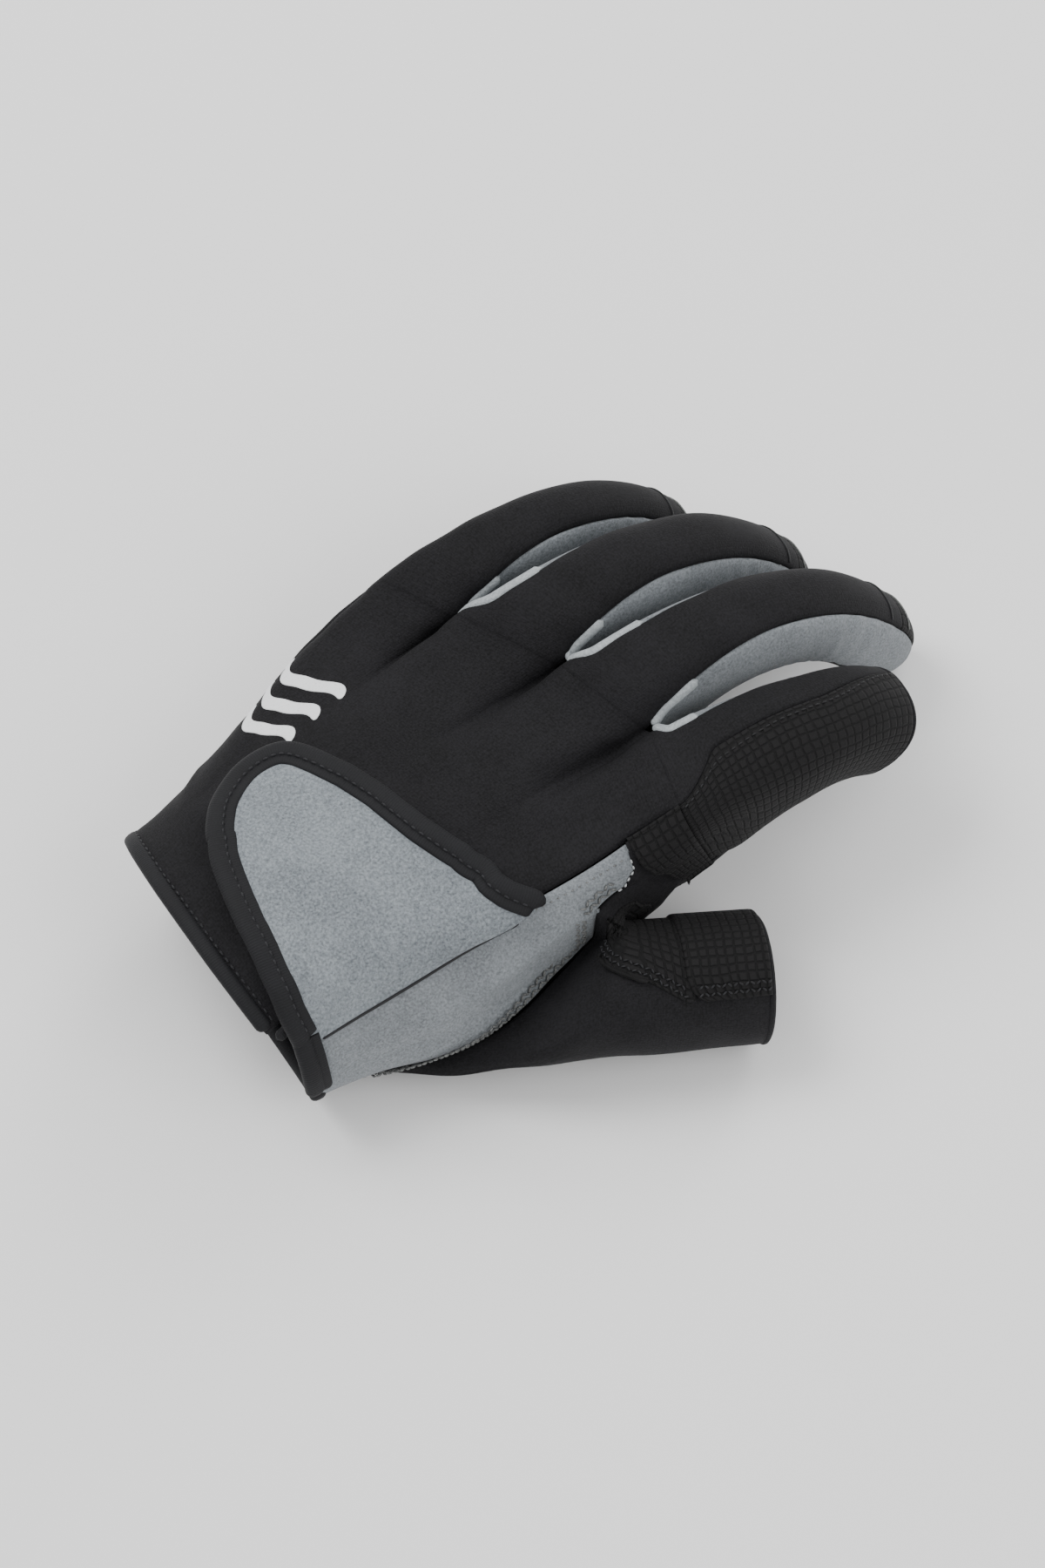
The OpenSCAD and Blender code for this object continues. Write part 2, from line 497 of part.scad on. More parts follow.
module little_side() { color(grey_suede) finger_strip(LITTLE, INNER_SIDE, strip_stop, 9, 5); }
module little_palm() { color(grip_black) finger_strip(LITTLE, LITTLE_PALM, strip_stop, 9, 10); }
module little_tip() { color(grip_black) finger_cap(LITTLE); }

// ---------- thumb stall, cut short and open ----------
hem_len = 2.4;
thumb_stop = thumb_len - hem_len - 0.3;
module thumb_strip(ph0, ph1) {
  skin(thumb_grid(thumb_gap, thumb_stop, ph0, ph1, 5, 14, 0),
       thumb_grid(thumb_gap, thumb_stop, ph0, ph1, 5, 14, -fabric_t));
}
module thumb_back() { color(black_knit) thumb_strip(-10, 170 - seam_angle); }
module thumb_palm() { color(grip_black) thumb_strip(170, 350 - seam_angle); }
module thumb_patch() {
  color(grip_black) skin(thumb_grid(thumb_gap + 6, thumb_stop, -28, 112, 4, 12, 0.25 + patch_t),
    thumb_grid(thumb_gap + 6, thumb_stop, -28, 112, 4, 12, 0.25));
}
module thumb_hem() {
  axis_turn = [0, 90 - asin(thumb_dir[2]), atan2(thumb_dir[1], thumb_dir[0])];
  color(binding_black) translate(thumb_end - thumb_dir * hem_len) rotate(axis_turn) difference() {
    cylinder(h = hem_len, r = thumb_r[1] + 0.4, $fn = 48);
    translate([0, 0, -1]) cylinder(h = hem_len + 2, r = thumb_r[1] - fabric_t - 0.2, $fn = 48);
  }
}

translate(recentre) back_panel();
translate(recentre) palm_panel();
translate(recentre) side_gusset();
translate(recentre) thumb_web();
translate(recentre) thenar_panel();
translate(recentre) web_index_middle();
translate(recentre) web_middle_ring();
translate(recentre) web_ring_little();
translate(recentre) heel_patch();
translate(recentre) loop_patch();
translate(recentre) cuff_binding();
translate(recentre) slit_binding();
translate(recentre) index_patch_root();
translate(recentre) tab_panel();
translate(recentre) tab_binding();
translate(recentre) hook_patch();
translate(recentre) index_back();
translate(recentre) index_side();
translate(recentre) index_palm();
translate(recentre) index_patch();
translate(recentre) index_hem();
translate(recentre) middle_back();
translate(recentre) middle_side_outer();
translate(recentre) middle_side_inner();
translate(recentre) middle_palm();
translate(recentre) middle_tip();
translate(recentre) ring_back();
translate(recentre) ring_side_outer();
translate(recentre) ring_side_inner();
translate(recentre) ring_palm();
translate(recentre) ring_tip();
translate(recentre) little_back();
translate(recentre) little_side();
translate(recentre) little_palm();
translate(recentre) little_tip();
translate(recentre) thumb_back();
translate(recentre) thumb_palm();
translate(recentre) thumb_patch();
translate(recentre) thumb_hem();
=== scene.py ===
import math

import bpy
import numpy as np
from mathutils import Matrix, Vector


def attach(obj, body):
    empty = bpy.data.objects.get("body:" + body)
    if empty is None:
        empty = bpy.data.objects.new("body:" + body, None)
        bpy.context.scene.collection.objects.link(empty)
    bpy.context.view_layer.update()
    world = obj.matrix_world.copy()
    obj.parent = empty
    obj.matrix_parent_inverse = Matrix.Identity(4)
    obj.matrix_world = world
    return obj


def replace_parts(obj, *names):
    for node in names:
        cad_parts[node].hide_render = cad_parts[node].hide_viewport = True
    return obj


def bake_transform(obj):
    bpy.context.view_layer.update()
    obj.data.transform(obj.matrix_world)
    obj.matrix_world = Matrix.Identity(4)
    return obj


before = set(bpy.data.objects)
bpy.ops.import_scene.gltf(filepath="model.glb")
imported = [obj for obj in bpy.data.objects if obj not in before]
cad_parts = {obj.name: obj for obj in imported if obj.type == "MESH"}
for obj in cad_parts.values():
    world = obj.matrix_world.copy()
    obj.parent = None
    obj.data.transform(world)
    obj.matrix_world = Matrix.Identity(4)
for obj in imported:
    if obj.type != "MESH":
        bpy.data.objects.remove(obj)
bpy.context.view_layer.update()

# ---------- shape of the glove, in mm, before the row frame's recentring ----------
RECENTRE = np.array([2.5, 3.1, 0.0])
INDEX, MIDDLE, RING, LITTLE = range(4)
FINGERS = ["index", "middle", "ring", "little"]
ROOT_Y = np.array([-18.2, 8.2, 32.4, 53.8])
TIP_Y = np.array([-18.5, 7.5, 33, 57])
TIP_X = np.array([67.5, 90, 77.5, 61.5])
ROOT_Z = np.array([38, 39, 38, 35.5])
SHOULDER_Z = np.array([43.5, 52, 51, 47.5])
TIP_Z = np.array([29, 0.4, 0.4, 0.9])
HALF_W = np.array([13.8, 12.2, 12.1, 9.6])
HALF_UP = np.array([12.2, 12, 11.7, 9.6])
HALF_LOW = np.array([19, 12, 11.7, 10.6])
TIP_SCALE = np.array([0.84, 0.8, 0.8, 0.84])
LOW_SCALE = np.array([0.66, 0.8, 0.8, 0.84])
EDGE_X = np.array([13, 18.5, 10.5, -3, -13])
BETWEEN_Y = (ROOT_Y[:3] + HALF_W[:3] + ROOT_Y[1:] - HALF_W[1:]) / 2
EDGE_Y = np.array([-32.0, *BETWEEN_Y, 63.4])
ROOT_X = (EDGE_X[:-1] + EDGE_X[1:]) / 2
SLOPE = np.diff(EDGE_X) / np.diff(EDGE_Y)
SHARE_X = np.array([0, 0.33, 0.73, 1])
LINE_X = [ROOT_X[k] + SHARE_X * (TIP_X[k] - ROOT_X[k]) for k in range(4)]
LINE_Z = [[ROOT_Z[k], SHOULDER_Z[k], SHOULDER_Z[k] - (2 if k == LITTLE else 0.5), TIP_Z[k]] for k in range(4)]


def bezier(p, t):
    q = 1 - t
    return q**3 * p[0] + 3 * q * q * t * p[1] + 3 * q * t * t * p[2] + t**3 * p[3]


def bezier_slope(p, t):
    q = 1 - t
    return 3 * q * q * (p[1] - p[0]) + 6 * q * t * (p[2] - p[1]) + 3 * t * t * (p[3] - p[2])


def smooth(a, b, x):
    t = np.clip((np.asarray(x, float) - a) / (b - a), 0, 1)
    return t * t * (3 - 2 * t)


def bump(x, centre, width):
    return np.exp(-(((np.asarray(x, float) - centre) / width) ** 2))


def signed_pow(c, p):
    return np.sign(c) * np.abs(c) ** p


def unit(v):
    return v / np.maximum(np.linalg.norm(v, axis=-1, keepdims=True), 1e-9)


def closed_curve(points, t):
    """Catmull-Rom curve through the points, t from 0 to 1 once round."""
    n = len(points)
    u = np.mod(t, 1) * n
    i = np.floor(u).astype(int)
    f = (u - i)[..., None]
    a, b, c, d = points[(i - 1) % n], points[i % n], points[(i + 1) % n], points[(i + 2) % n]
    return 0.5 * (2 * b + (c - a) * f + (2 * a - 5 * b + 4 * c - d) * f * f + (3 * b - a - 3 * c + d) * f**3)


def finger(k, s, th):
    """Point on finger k: s from root to tip, th in degrees, 0 the little-finger side, 90 the back."""
    s, th = np.broadcast_arrays(np.asarray(s, float), np.asarray(th, float))
    dx, dz = bezier_slope(LINE_X[k], s), bezier_slope(LINE_Z[k], s)
    n = np.hypot(dx, dz)
    q = np.clip((s - 0.85) / 0.15, 0, 1) if k else 0 * s
    dome = np.sqrt(np.clip(1 - q**2.6, 0, 1))
    swell = 0.03 * bump(s, 0.45, 0.16)
    wide = (1 + (TIP_SCALE[k] - 1) * s + swell) * dome
    low = (1 + (LOW_SCALE[k] - 1) * s + swell) * dome
    p = 2 / (4 - 1.7 * smooth(0, 0.45, s))
    t = np.radians(th)
    cy, cz = signed_pow(np.cos(t), p), signed_pow(np.sin(t), p)
    slim = 1.15 * smooth(0.01, 0.09, s) * np.where(cy > 0, k < LITTLE, k > INDEX)
    a = np.maximum(0.05, HALF_W[k] * wide - slim * dome)
    b = np.maximum(0.05, np.where(cz > 0, HALF_UP[k] * wide, HALF_LOW[k] * low))
    skew = SLOPE[k] * (1 - smooth(0, 0.4, s))
    return np.stack([
        bezier(LINE_X[k], s) - dz / n * b * cz + skew * a * cy,
        ROOT_Y[k] + (TIP_Y[k] - ROOT_Y[k]) * s + a * cy,
        bezier(LINE_Z[k], s) + dx / n * b * cz,
    ], -1)


def cuff(u):
    th = np.radians(np.interp(np.mod(u, 4), [0, 1, 2, 3, 4], [148, 32, -32, -148, -212]))
    y, z = 35.5 * signed_pow(np.cos(th), 2 / 2.3), 21 * signed_pow(np.sin(th), 2 / 2.3)
    return np.stack([-90 - 0.06 * y - 0.27 * z - 0.8 * np.maximum(0, np.sin(th)) ** 2, 3.5 + y, 22 + z], -1)


def roots(u):
    w = np.mod(np.asarray(u, float), 4)
    out = np.zeros(w.shape + (3,))
    for k in range(4):
        m = (w < 1) & (np.minimum(3, np.floor(w * 4)) == k)
        out[m] = finger(k, 0, 160 - (w[m] * 4 - k) * 140)
        m = (w >= 2) & (w < 3) & (np.minimum(3, np.floor((w - 2) * 4)) == 3 - k)
        out[m] = finger(k, 0, -20 - ((w[m] - 2) * 4 - 3 + k) * 140)
    m = (w >= 1) & (w < 2)
    out[m] = finger(LITTLE, 0, 20 - (w[m] - 1) * 40)
    m = w >= 3
    out[m] = finger(INDEX, 0, -160 - (w[m] - 3) * 40)
    return out


FINGER_RISE = [0.32, 0.52, 0.53, 0.52]  # slope of each finger as it leaves the knuckle
SPAN_Y = [EDGE_Y[0], *ROOT_Y, EDGE_Y[4]]


def across(v, y):
    return np.interp(y, SPAN_Y, [v[0], v[0], v[1], v[2], v[3], v[3]])


def palm(s, u):
    """Point on the hand: s from cuff to knuckles, u round it.

    u is 0-1 on the back, 1-2 on the outer side, 2-3 on the palm and -1-0 on the thumb side."""
    s, u = np.broadcast_arrays(np.asarray(s, float), np.asarray(u, float))
    w, w4 = np.mod(u + 2, 4) - 2, np.mod(u, 4)
    a, c = cuff(u), roots(u)
    up = (w4 < 1.5) | (w4 > 3.5)
    middle, half = (EDGE_Y[0] + EDGE_Y[4]) / 2, (EDGE_Y[4] - EDGE_Y[0]) / 2
    reach = np.minimum(1, np.abs(c[..., 1] - middle) / (half + 0.3))
    h = np.where(up, across(HALF_UP, c[..., 1]), across(HALF_LOW, c[..., 1])) * (1 - reach**5) ** 0.2
    b = c.copy()
    b[..., 2] = across(ROOT_Z, c[..., 1]) + np.where(up, h, -h)
    span = np.linalg.norm(b - a, axis=-1, keepdims=True)
    angle = np.radians(np.interp(w, [-2, -1, 0, 1, 2], [-32, -148, -212, -328, -392]))
    rise = -0.02 + 0.26 * (np.sin(angle) + 1) / 2
    go = unit(np.stack([np.ones_like(rise), 0.17 + 0 * rise, rise], -1))
    arrive = np.array([1, 0, 0.4]) / np.hypot(1, 0.4)
    q = s[..., None]
    steeper = (across(FINGER_RISE, c[..., 1]) - 0.4)[..., None]
    meet = -(1 - q) * q**12 * span * steeper * np.array([0, 0, 0.93])
    thenar_bulge = 10.5 * bump(s, 0.37, 0.31) * bump(w, -0.85, 0.5)
    return ((2 * q**3 - 3 * q**2 + 1) * a + (q**3 - 2 * q**2 + q) * go * span + (3 * q**2 - 2 * q**3) * b
            + (q**3 - q**2) * arrive * span + smooth(0.62, 1, q) * (c - b) + meet
            + thenar_bulge[..., None] * np.array([0, -1, -0.15]))


def palm_normal(s, u):
    return unit(np.cross(palm(s + 0.002, u) - palm(s - 0.002, u), palm(s, u + 0.002) - palm(s, u - 0.002)))


def raised(s, u, height):
    return palm(s, u) + palm_normal(s, u) * np.asarray(height, float)[..., None]


# thumb hole in the hand, as [s, u] from the crotch over the top and round the heel
HOLE = np.array([[0.93, -0.74], [0.81, -0.38], [0.7, -0.52], [0.56, -0.68], [0.4, -0.82], [0.22, -0.92],
                 [0.1, -1.1], [0.15, -1.28], [0.34, -1.38], [0.58, -1.38], [0.8, -1.22]])
THUMB_ROOT, THUMB_END = np.array([-12, -46.8, 17.9]), np.array([14.5, -57.2, 14.8])
THUMB_LEN = np.linalg.norm(THUMB_END - THUMB_ROOT)
THUMB_DIR = (THUMB_END - THUMB_ROOT) / THUMB_LEN
THUMB_SIDE = unit(np.cross([0, 0, 1], THUMB_DIR))
THUMB_UP = np.cross(THUMB_DIR, THUMB_SIDE)


def stall(d, ph):
    d, ph = np.broadcast_arrays(np.asarray(d, float), np.radians(np.asarray(ph, float)))
    ring = np.cos(ph)[..., None] * THUMB_SIDE + np.sin(ph)[..., None] * THUMB_UP
    return THUMB_ROOT + THUMB_DIR * d[..., None] + (14.8 - 0.4 * d / THUMB_LEN)[..., None] * ring


def thumb(t, ph):
    """Point on the thumb: t 0-1 from the hole to the stall, 1-2 along the stall, ph in degrees round it."""
    t, ph = np.broadcast_arrays(np.asarray(t, float), np.asarray(ph, float))
    at = closed_curve(HOLE, ph / 360)
    a, b = palm(at[..., 0], at[..., 1]), stall(0 * t, ph)
    span = np.linalg.norm(b - a, axis=-1, keepdims=True)
    leave = b - a + palm_normal(at[..., 0], at[..., 1]) * 0.35 * span
    q = np.clip(t, 0, 1)[..., None]
    fan = ((2 * q**3 - 3 * q**2 + 1) * a + (q**3 - 2 * q**2 + q) * leave + (3 * q**2 - 2 * q**3) * b
           + (q**3 - q**2) * THUMB_DIR * 1.3 * span)
    return np.where((t < 1)[..., None], fan, stall(np.clip(t - 1, 0, 1) * THUMB_LEN, ph))


# ---------- mesh building ----------
def ripple(p):
    """Soft unevenness of worn fabric, in mm."""
    x, y, z = p[..., 0], p[..., 1], p[..., 2]
    return (0.16 * np.sin(0.21 * x + 0.11 * y + 1.3) * np.sin(0.17 * y - 0.05 * x + 0.4)
            + 0.12 * np.sin(0.13 * x - 0.31 * y + 0.2 * z)
            + 0.08 * np.sin(0.43 * x + 0.29 * y + 0.33 * z + 2))


def grid_normals(p, sign, wrap=False):
    down = np.gradient(p, axis=0)
    if wrap:
        side = (np.roll(p, -1, 1) - np.roll(p, 1, 1)) / 2
    else:
        side = np.gradient(p, axis=1)
    return sign * unit(np.cross(down, side))


def steps(n, first=False, last=False):
    """0 to 1 in n steps, with finer ones at an end that is rolled under."""
    t = list(np.linspace(0, 1, n + 1))
    fine = [0.1 / n, 0.28 / n, 0.55 / n]
    return np.array(sorted(t + (fine if first else []) + ([1 - f for f in fine] if last else [])))


def distances(p):
    """Distance in mm of each grid point from the first row, last row, first column and last column."""
    down = np.vstack([np.zeros((1, p.shape[1])), np.cumsum(np.linalg.norm(np.diff(p, axis=0), axis=-1), 0)])
    side = np.hstack([np.zeros((p.shape[0], 1)), np.cumsum(np.linalg.norm(np.diff(p, axis=1), axis=-1), 1)])
    return down, down[-1:] - down, side, side[:, -1:] - side


def rolled(p, sign, roll, deep, wide, wrap=False):
    """Turns the marked borders under, as a seam or a folded edge does."""
    sink = 0
    for d, on in zip(distances(p), roll):
        if on:
            x = np.clip(1 - d / wide, 0, 1)
            sink = np.maximum(sink, 1 - np.sqrt(1 - x * x))
    return p - grid_normals(p, sign, wrap) * (deep * sink)[..., None]


def quads(rows, cols, wrap, start=0, flip=False):
    i, j = np.meshgrid(np.arange(rows - 1), np.arange(cols if wrap else cols - 1), indexing="ij")
    k = (j + 1) % cols
    near, far = i * cols, (i + 1) * cols
    f = np.stack([near + j, near + k, far + k, far + j], -1).reshape(-1, 4) + start
    return f[:, ::-1] if flip else f


def make_mesh(name, points, faces, material, cloth=None):
    mesh = bpy.data.meshes.new(name)
    mesh.from_pydata(((points + RECENTRE) / 1000).tolist(), [], [list(map(int, f)) for f in faces])
    mesh.polygons.foreach_set("use_smooth", [True] * len(mesh.polygons))
    rest = mesh.attributes.new("rest", "FLOAT_VECTOR", "POINT")
    rest.data.foreach_set("vector", points.astype(np.float32).ravel())
    plane = np.zeros((len(points), 3), np.float32)
    if cloth is not None:
        plane[:, :2] = cloth
    mesh.attributes.new("cloth", "FLOAT_VECTOR", "POINT").data.foreach_set("vector", plane.ravel())
    mesh.materials.append(material)
    mesh.update()
    piece = bpy.data.objects.new(name, mesh)
    bpy.context.scene.collection.objects.link(piece)
    return piece


def shell(name, p, sign, material, thick=1.2, wrap=False):
    """A closed piece of cloth: p is its outer face as a grid, and the lining lies thick below it."""
    rows, cols = p.shape[:2]
    inner = p - grid_normals(p, sign, wrap) * thick
    d = distances(p)
    mid = np.argmin(np.abs(d[0][:, cols // 2] - d[0][-1, cols // 2] / 2))
    across_mm = np.broadcast_to(d[2][mid], (rows, cols))
    along_mm = np.broadcast_to(d[0][:, cols // 2][:, None], (rows, cols))
    cloth = np.tile(np.stack([across_mm, along_mm], -1).reshape(-1, 2), (2, 1))
    n = rows * cols
    up = sign < 0
    faces = [quads(rows, cols, wrap, 0, not up), quads(rows, cols, wrap, n, up)]
    for i, flip in ((0, up), (rows - 1, not up)):
        a = i * cols + np.arange(cols if wrap else cols - 1)
        b = i * cols + (np.arange(len(a)) + 1) % cols
        strip = np.stack([a, b, b + n, a + n], -1)
        faces.append(strip if not flip else strip[:, ::-1])
    if not wrap:
        for j, flip in ((0, not up), (cols - 1, up)):
            a = np.arange(rows - 1) * cols + j
            strip = np.stack([a, a + cols, a + cols + n, a + n], -1)
            faces.append(strip if not flip else strip[:, ::-1])
    points = np.vstack([p.reshape(-1, 3), inner.reshape(-1, 3)])
    return make_mesh(name, points, np.vstack(faces), material, cloth)


def share_normals(pieces):
    """Panels that continue one another shade as one surface: their normals are averaged where they meet."""
    total, found = {}, []
    for o in pieces:
        co = np.array([v.co for v in o.data.vertices])
        no = np.array([v.vector for v in o.data.vertex_normals])
        keys = [tuple(q) for q in np.round(co * 5e4).astype(int).tolist()]
        found.append((o, no, keys))
        for q, v in zip(keys, no):
            total.setdefault(q, []).append((o.name, v))
    for o, no, keys in found:
        for i, q in enumerate(keys):
            if len({name for name, _ in total[q]}) > 1:
                no[i] = unit(np.sum([v for _, v in total[q]], 0))
        o.data.normals_split_custom_set_from_vertices(no.tolist())


def tube(name, path, outs, half_wide, half_thick, material, n=14, power=0.85, ends=(1, 1), offset=0.0):
    """A rounded binding along a path, offset to its side; outs point away from the cloth."""
    along = unit(np.gradient(path, axis=0))
    side = unit(np.cross(along, outs))
    path = path + side * offset
    up = np.cross(side, along)
    a = np.radians(np.arange(n) * 360 / n)
    cy, cz = signed_pow(np.cos(a), power), signed_pow(np.sin(a), power)
    length = np.concatenate([[0], np.cumsum(np.linalg.norm(np.diff(path, axis=0), axis=1))])
    size = np.ones(len(path))
    for on, far in zip(ends, (length, length[-1] - length)):
        if on:
            size = size * np.sqrt(np.clip(1 - np.clip(1 - far / half_wide, 0, 1) ** 2, 0.02, 1))
    p = path[:, None] + size[:, None, None] * (
        half_wide * cy[None, :, None] * side[:, None] + half_thick * cz[None, :, None] * up[:, None])
    cloth = np.stack(np.broadcast_arrays((a * half_wide)[None], length[:, None]), -1).reshape(-1, 2)
    rows = len(path)
    faces = [list(f) for f in quads(rows, n, True, 0, True)]
    faces += [list(range(n)), list(range((rows - 1) * n, rows * n))[::-1]]
    return make_mesh(name, p.reshape(-1, 3), faces, material, cloth)


def resample(path, outs, gap):
    """Points every gap mm along a path, with directions."""
    length = np.concatenate([[0], np.cumsum(np.linalg.norm(np.diff(path, axis=0), axis=1))])
    at = np.arange(gap / 2, length[-1], gap)
    pick = lambda v: np.stack([np.interp(at, length, v[:, i]) for i in range(3)], -1)
    return pick(path), unit(pick(outs)), unit(pick(unit(np.gradient(path, axis=0))))


def stitches(name, path, outs, material, slot, gap=2.1, long=1.35, fat=0.27, slant=0.0, offset=0.0):
    """Threads laid along a path; slant in degrees alternates, for a zigzag."""
    centre, out, along = resample(path, outs, gap)
    side = unit(np.cross(along, out))
    turn = np.radians(slant) * np.where(np.arange(len(centre)) % 2, 1, -1)[:, None]
    dirs = np.cos(turn) * along + np.sin(turn) * side
    cross = np.cross(out, dirs)
    rings, sides = [(-1, 0.25), (-0.75, 0.8), (0, 1.05), (0.75, 0.8), (1, 0.25)], 6
    a = np.radians(np.arange(sides) * 360 / sides)
    points, faces = [], []
    for c, d, o, x in zip(centre + side * offset, dirs, out, cross):
        start = sum(len(q) for q in points)
        for f, r in rings:
            lift = 0.12 * (1 - f * f)
            round_it = np.cos(a)[:, None] * x + np.sin(a)[:, None] * o
            points.append(c + d * f * long / 2 + o * lift + fat * r * round_it)
        faces += [list(f) for f in quads(len(rings), sides, True, start, True)]
        faces += [list(range(start, start + sides)), list(range(start + 4 * sides, start + 5 * sides))[::-1]]
    return make_mesh(name, np.vstack(points), faces, material)


# ---------- materials ----------
def add(tree, kind, settings=None, **inputs):
    """A node with its properties and inputs set; an input may be another node's output."""
    node = tree.nodes.new(kind)
    for key, value in (settings or {}).items():
        setattr(node, key, value)
    for key, value in inputs.items():
        socket = node.inputs[int(key[1:])] if key[0] == "_" else node.inputs[key.replace("_", " ")]
        if isinstance(value, bpy.types.NodeSocket):
            tree.links.new(value, socket)
        else:
            socket.default_value = value
    return node


def maths(tree, operation, a, b=0.0, c=0.0):
    return add(tree, "ShaderNodeMath", {"operation": operation}, _0=a, _1=b, _2=c).outputs[0]


def weighted(tree, *parts):
    """Sum of values, each given with its share."""
    total = maths(tree, "MULTIPLY", *parts[0])
    for value, share in parts[1:]:
        total = maths(tree, "MULTIPLY_ADD", value, share, total)
    return total


def ramp(tree, value, low, high, dark, light):
    """A colour between dark and light as value goes from low to high."""
    share = add(tree, "ShaderNodeMapRange", None, _0=value, _1=low, _2=high).outputs[0]
    mix = add(tree, "ShaderNodeMix", {"data_type": "RGBA"}, Factor=share)
    mix.inputs["A"].default_value, mix.inputs["B"].default_value = (*dark, 1), (*light, 1)
    return mix.outputs["Result"]


def noise(tree, vector, scale, detail=2.0, rough=0.5):
    return add(tree, "ShaderNodeTexNoise", None, Vector=vector, Scale=scale, Detail=detail,
               Roughness=rough).outputs[0]


def fabric(name):
    """A material, its tree, its surface node, and the cloth's rest position and flat position in mm."""
    material = bpy.data.materials.new(name)
    material.use_nodes = True
    tree = material.node_tree
    surface = tree.nodes["Principled BSDF"]
    rest = add(tree, "ShaderNodeAttribute", {"attribute_name": "rest"}).outputs["Vector"]
    cloth = add(tree, "ShaderNodeAttribute", {"attribute_name": "cloth"}).outputs["Vector"]
    return material, tree, surface, rest, cloth


def finish_fabric(tree, surface, colour, height, depth_mm, rough, sheen, sheen_rough=0.5, specular=0.35):
    bumped = add(tree, "ShaderNodeBump", None, Strength=1.0, Distance=depth_mm / 1000, Height=height)
    tree.links.new(colour, surface.inputs["Base Color"])
    tree.links.new(bumped.outputs[0], surface.inputs["Normal"])
    surface.inputs["Roughness"].default_value = rough
    surface.inputs["Sheen Weight"].default_value = sheen
    surface.inputs["Sheen Roughness"].default_value = sheen_rough
    surface.inputs["Specular IOR Level"].default_value = specular


def knit_material():
    """Fine stretch knit: rows of tiny dots over a soft mottle."""
    material, tree, surface, rest, cloth = fabric("black_knit")
    dots = add(tree, "ShaderNodeTexVoronoi", None, Vector=cloth, Scale=1.55, Randomness=0.45).outputs[0]
    speck = noise(tree, rest, 1.9, 3.0, 0.65)
    mottle = noise(tree, rest, 0.05, 3.0, 0.6)
    mixed = weighted(tree, (speck, 0.75), (mottle, 0.35), (dots, -0.22))
    colour = ramp(tree, mixed, 0.26, 0.56, (0.0018, 0.0017, 0.002), (0.0108, 0.0104, 0.0122))
    height = weighted(tree, (speck, 0.6), (dots, -0.7))
    finish_fabric(tree, surface, colour, height, 0.14, 0.8, 0.012, 0.4, 0.22)
    return material


def grip_material(name, pitch, dark, light):
    """Grip fabric: raised rounded squares in rows, with dark grooves between."""
    material, tree, surface, rest, cloth = fabric(name)
    wobble = add(tree, "ShaderNodeTexNoise", None, Vector=rest, Scale=0.22, Detail=2.0)
    shift = add(tree, "ShaderNodeVectorMath", {"operation": "SCALE"}, _0=wobble.outputs["Color"])
    shift.inputs["Scale"].default_value = 1.3
    at = add(tree, "ShaderNodeVectorMath", {"operation": "ADD"}, _0=cloth, _1=shift.outputs[0])
    split = add(tree, "ShaderNodeSeparateXYZ", None, _0=at.outputs[0])
    ways = []
    for axis in (0, 1):
        t = maths(tree, "PINGPONG", maths(tree, "MULTIPLY", split.outputs[axis], 1 / pitch), 0.5)
        ways.append(add(tree, "ShaderNodeMapRange", {"interpolation_type": "SMOOTHSTEP"}, _0=t, _1=0.03,
                        _2=0.2).outputs[0])
    square = maths(tree, "MULTIPLY", *ways)
    grain = noise(tree, rest, 2.6, 3.0, 0.7)
    mottle = noise(tree, rest, 0.12, 2.0)
    tone = weighted(tree, (square, 0.55), (grain, 0.35), (mottle, 0.25))
    colour = ramp(tree, tone, 0.2, 1.05, dark, light)
    height = weighted(tree, (square, 1), (grain, 0.25))
    finish_fabric(tree, surface, colour, height, 0.3, 0.75, 0.01, 0.4, 0.22)
    return material


def suede_material(name, dark, light, grain_mm, depth, sheen=0.12):
    """Brushed synthetic suede with a pebbled nap."""
    material, tree, surface, rest, _ = fabric(name)
    nap = noise(tree, rest, 1 / grain_mm, 4.0, 0.62)
    fuzz = noise(tree, rest, 3.6 / grain_mm, 3.0, 0.7)
    patch = noise(tree, rest, 0.06, 3.0, 0.6)
    tone = weighted(tree, (nap, 0.55), (fuzz, 0.3), (patch, 0.16))
    colour = ramp(tree, tone, 0.36, 0.64, dark, light)
    finish_fabric(tree, surface, colour, weighted(tree, (nap, 1), (fuzz, 0.4)), depth, 0.88, sheen, 0.55, 0.2)
    return material


def binding_material():
    """Ribbed elastic binding tape."""
    material, tree, surface, rest, cloth = fabric("binding")
    split = add(tree, "ShaderNodeSeparateXYZ", None, _0=cloth)
    ribs = maths(tree, "PINGPONG", maths(tree, "MULTIPLY", split.outputs[1], 1.7), 0.5)
    grain = noise(tree, rest, 2.4, 3.0, 0.65)
    wide = noise(tree, rest, 0.15, 2.0)
    tone = weighted(tree, (ribs, 0.5), (grain, 0.6), (wide, 0.3))
    colour = ramp(tree, tone, 0.3, 0.95, (0.0015, 0.0015, 0.0021), (0.0085, 0.0088, 0.0115))
    finish_fabric(tree, surface, colour, maths(tree, "ADD", ribs, grain), 0.09, 0.7, 0.02, 0.4, 0.3)
    return material


def thread_material(name, dark, light):
    material, tree, surface, rest, _ = fabric(name)
    twist = noise(tree, rest, 3.0, 2.0)
    colour = ramp(tree, twist, 0.3, 0.7, dark, light)
    finish_fabric(tree, surface, colour, twist, 0.06, 0.6, 0.05, 0.4)
    return material


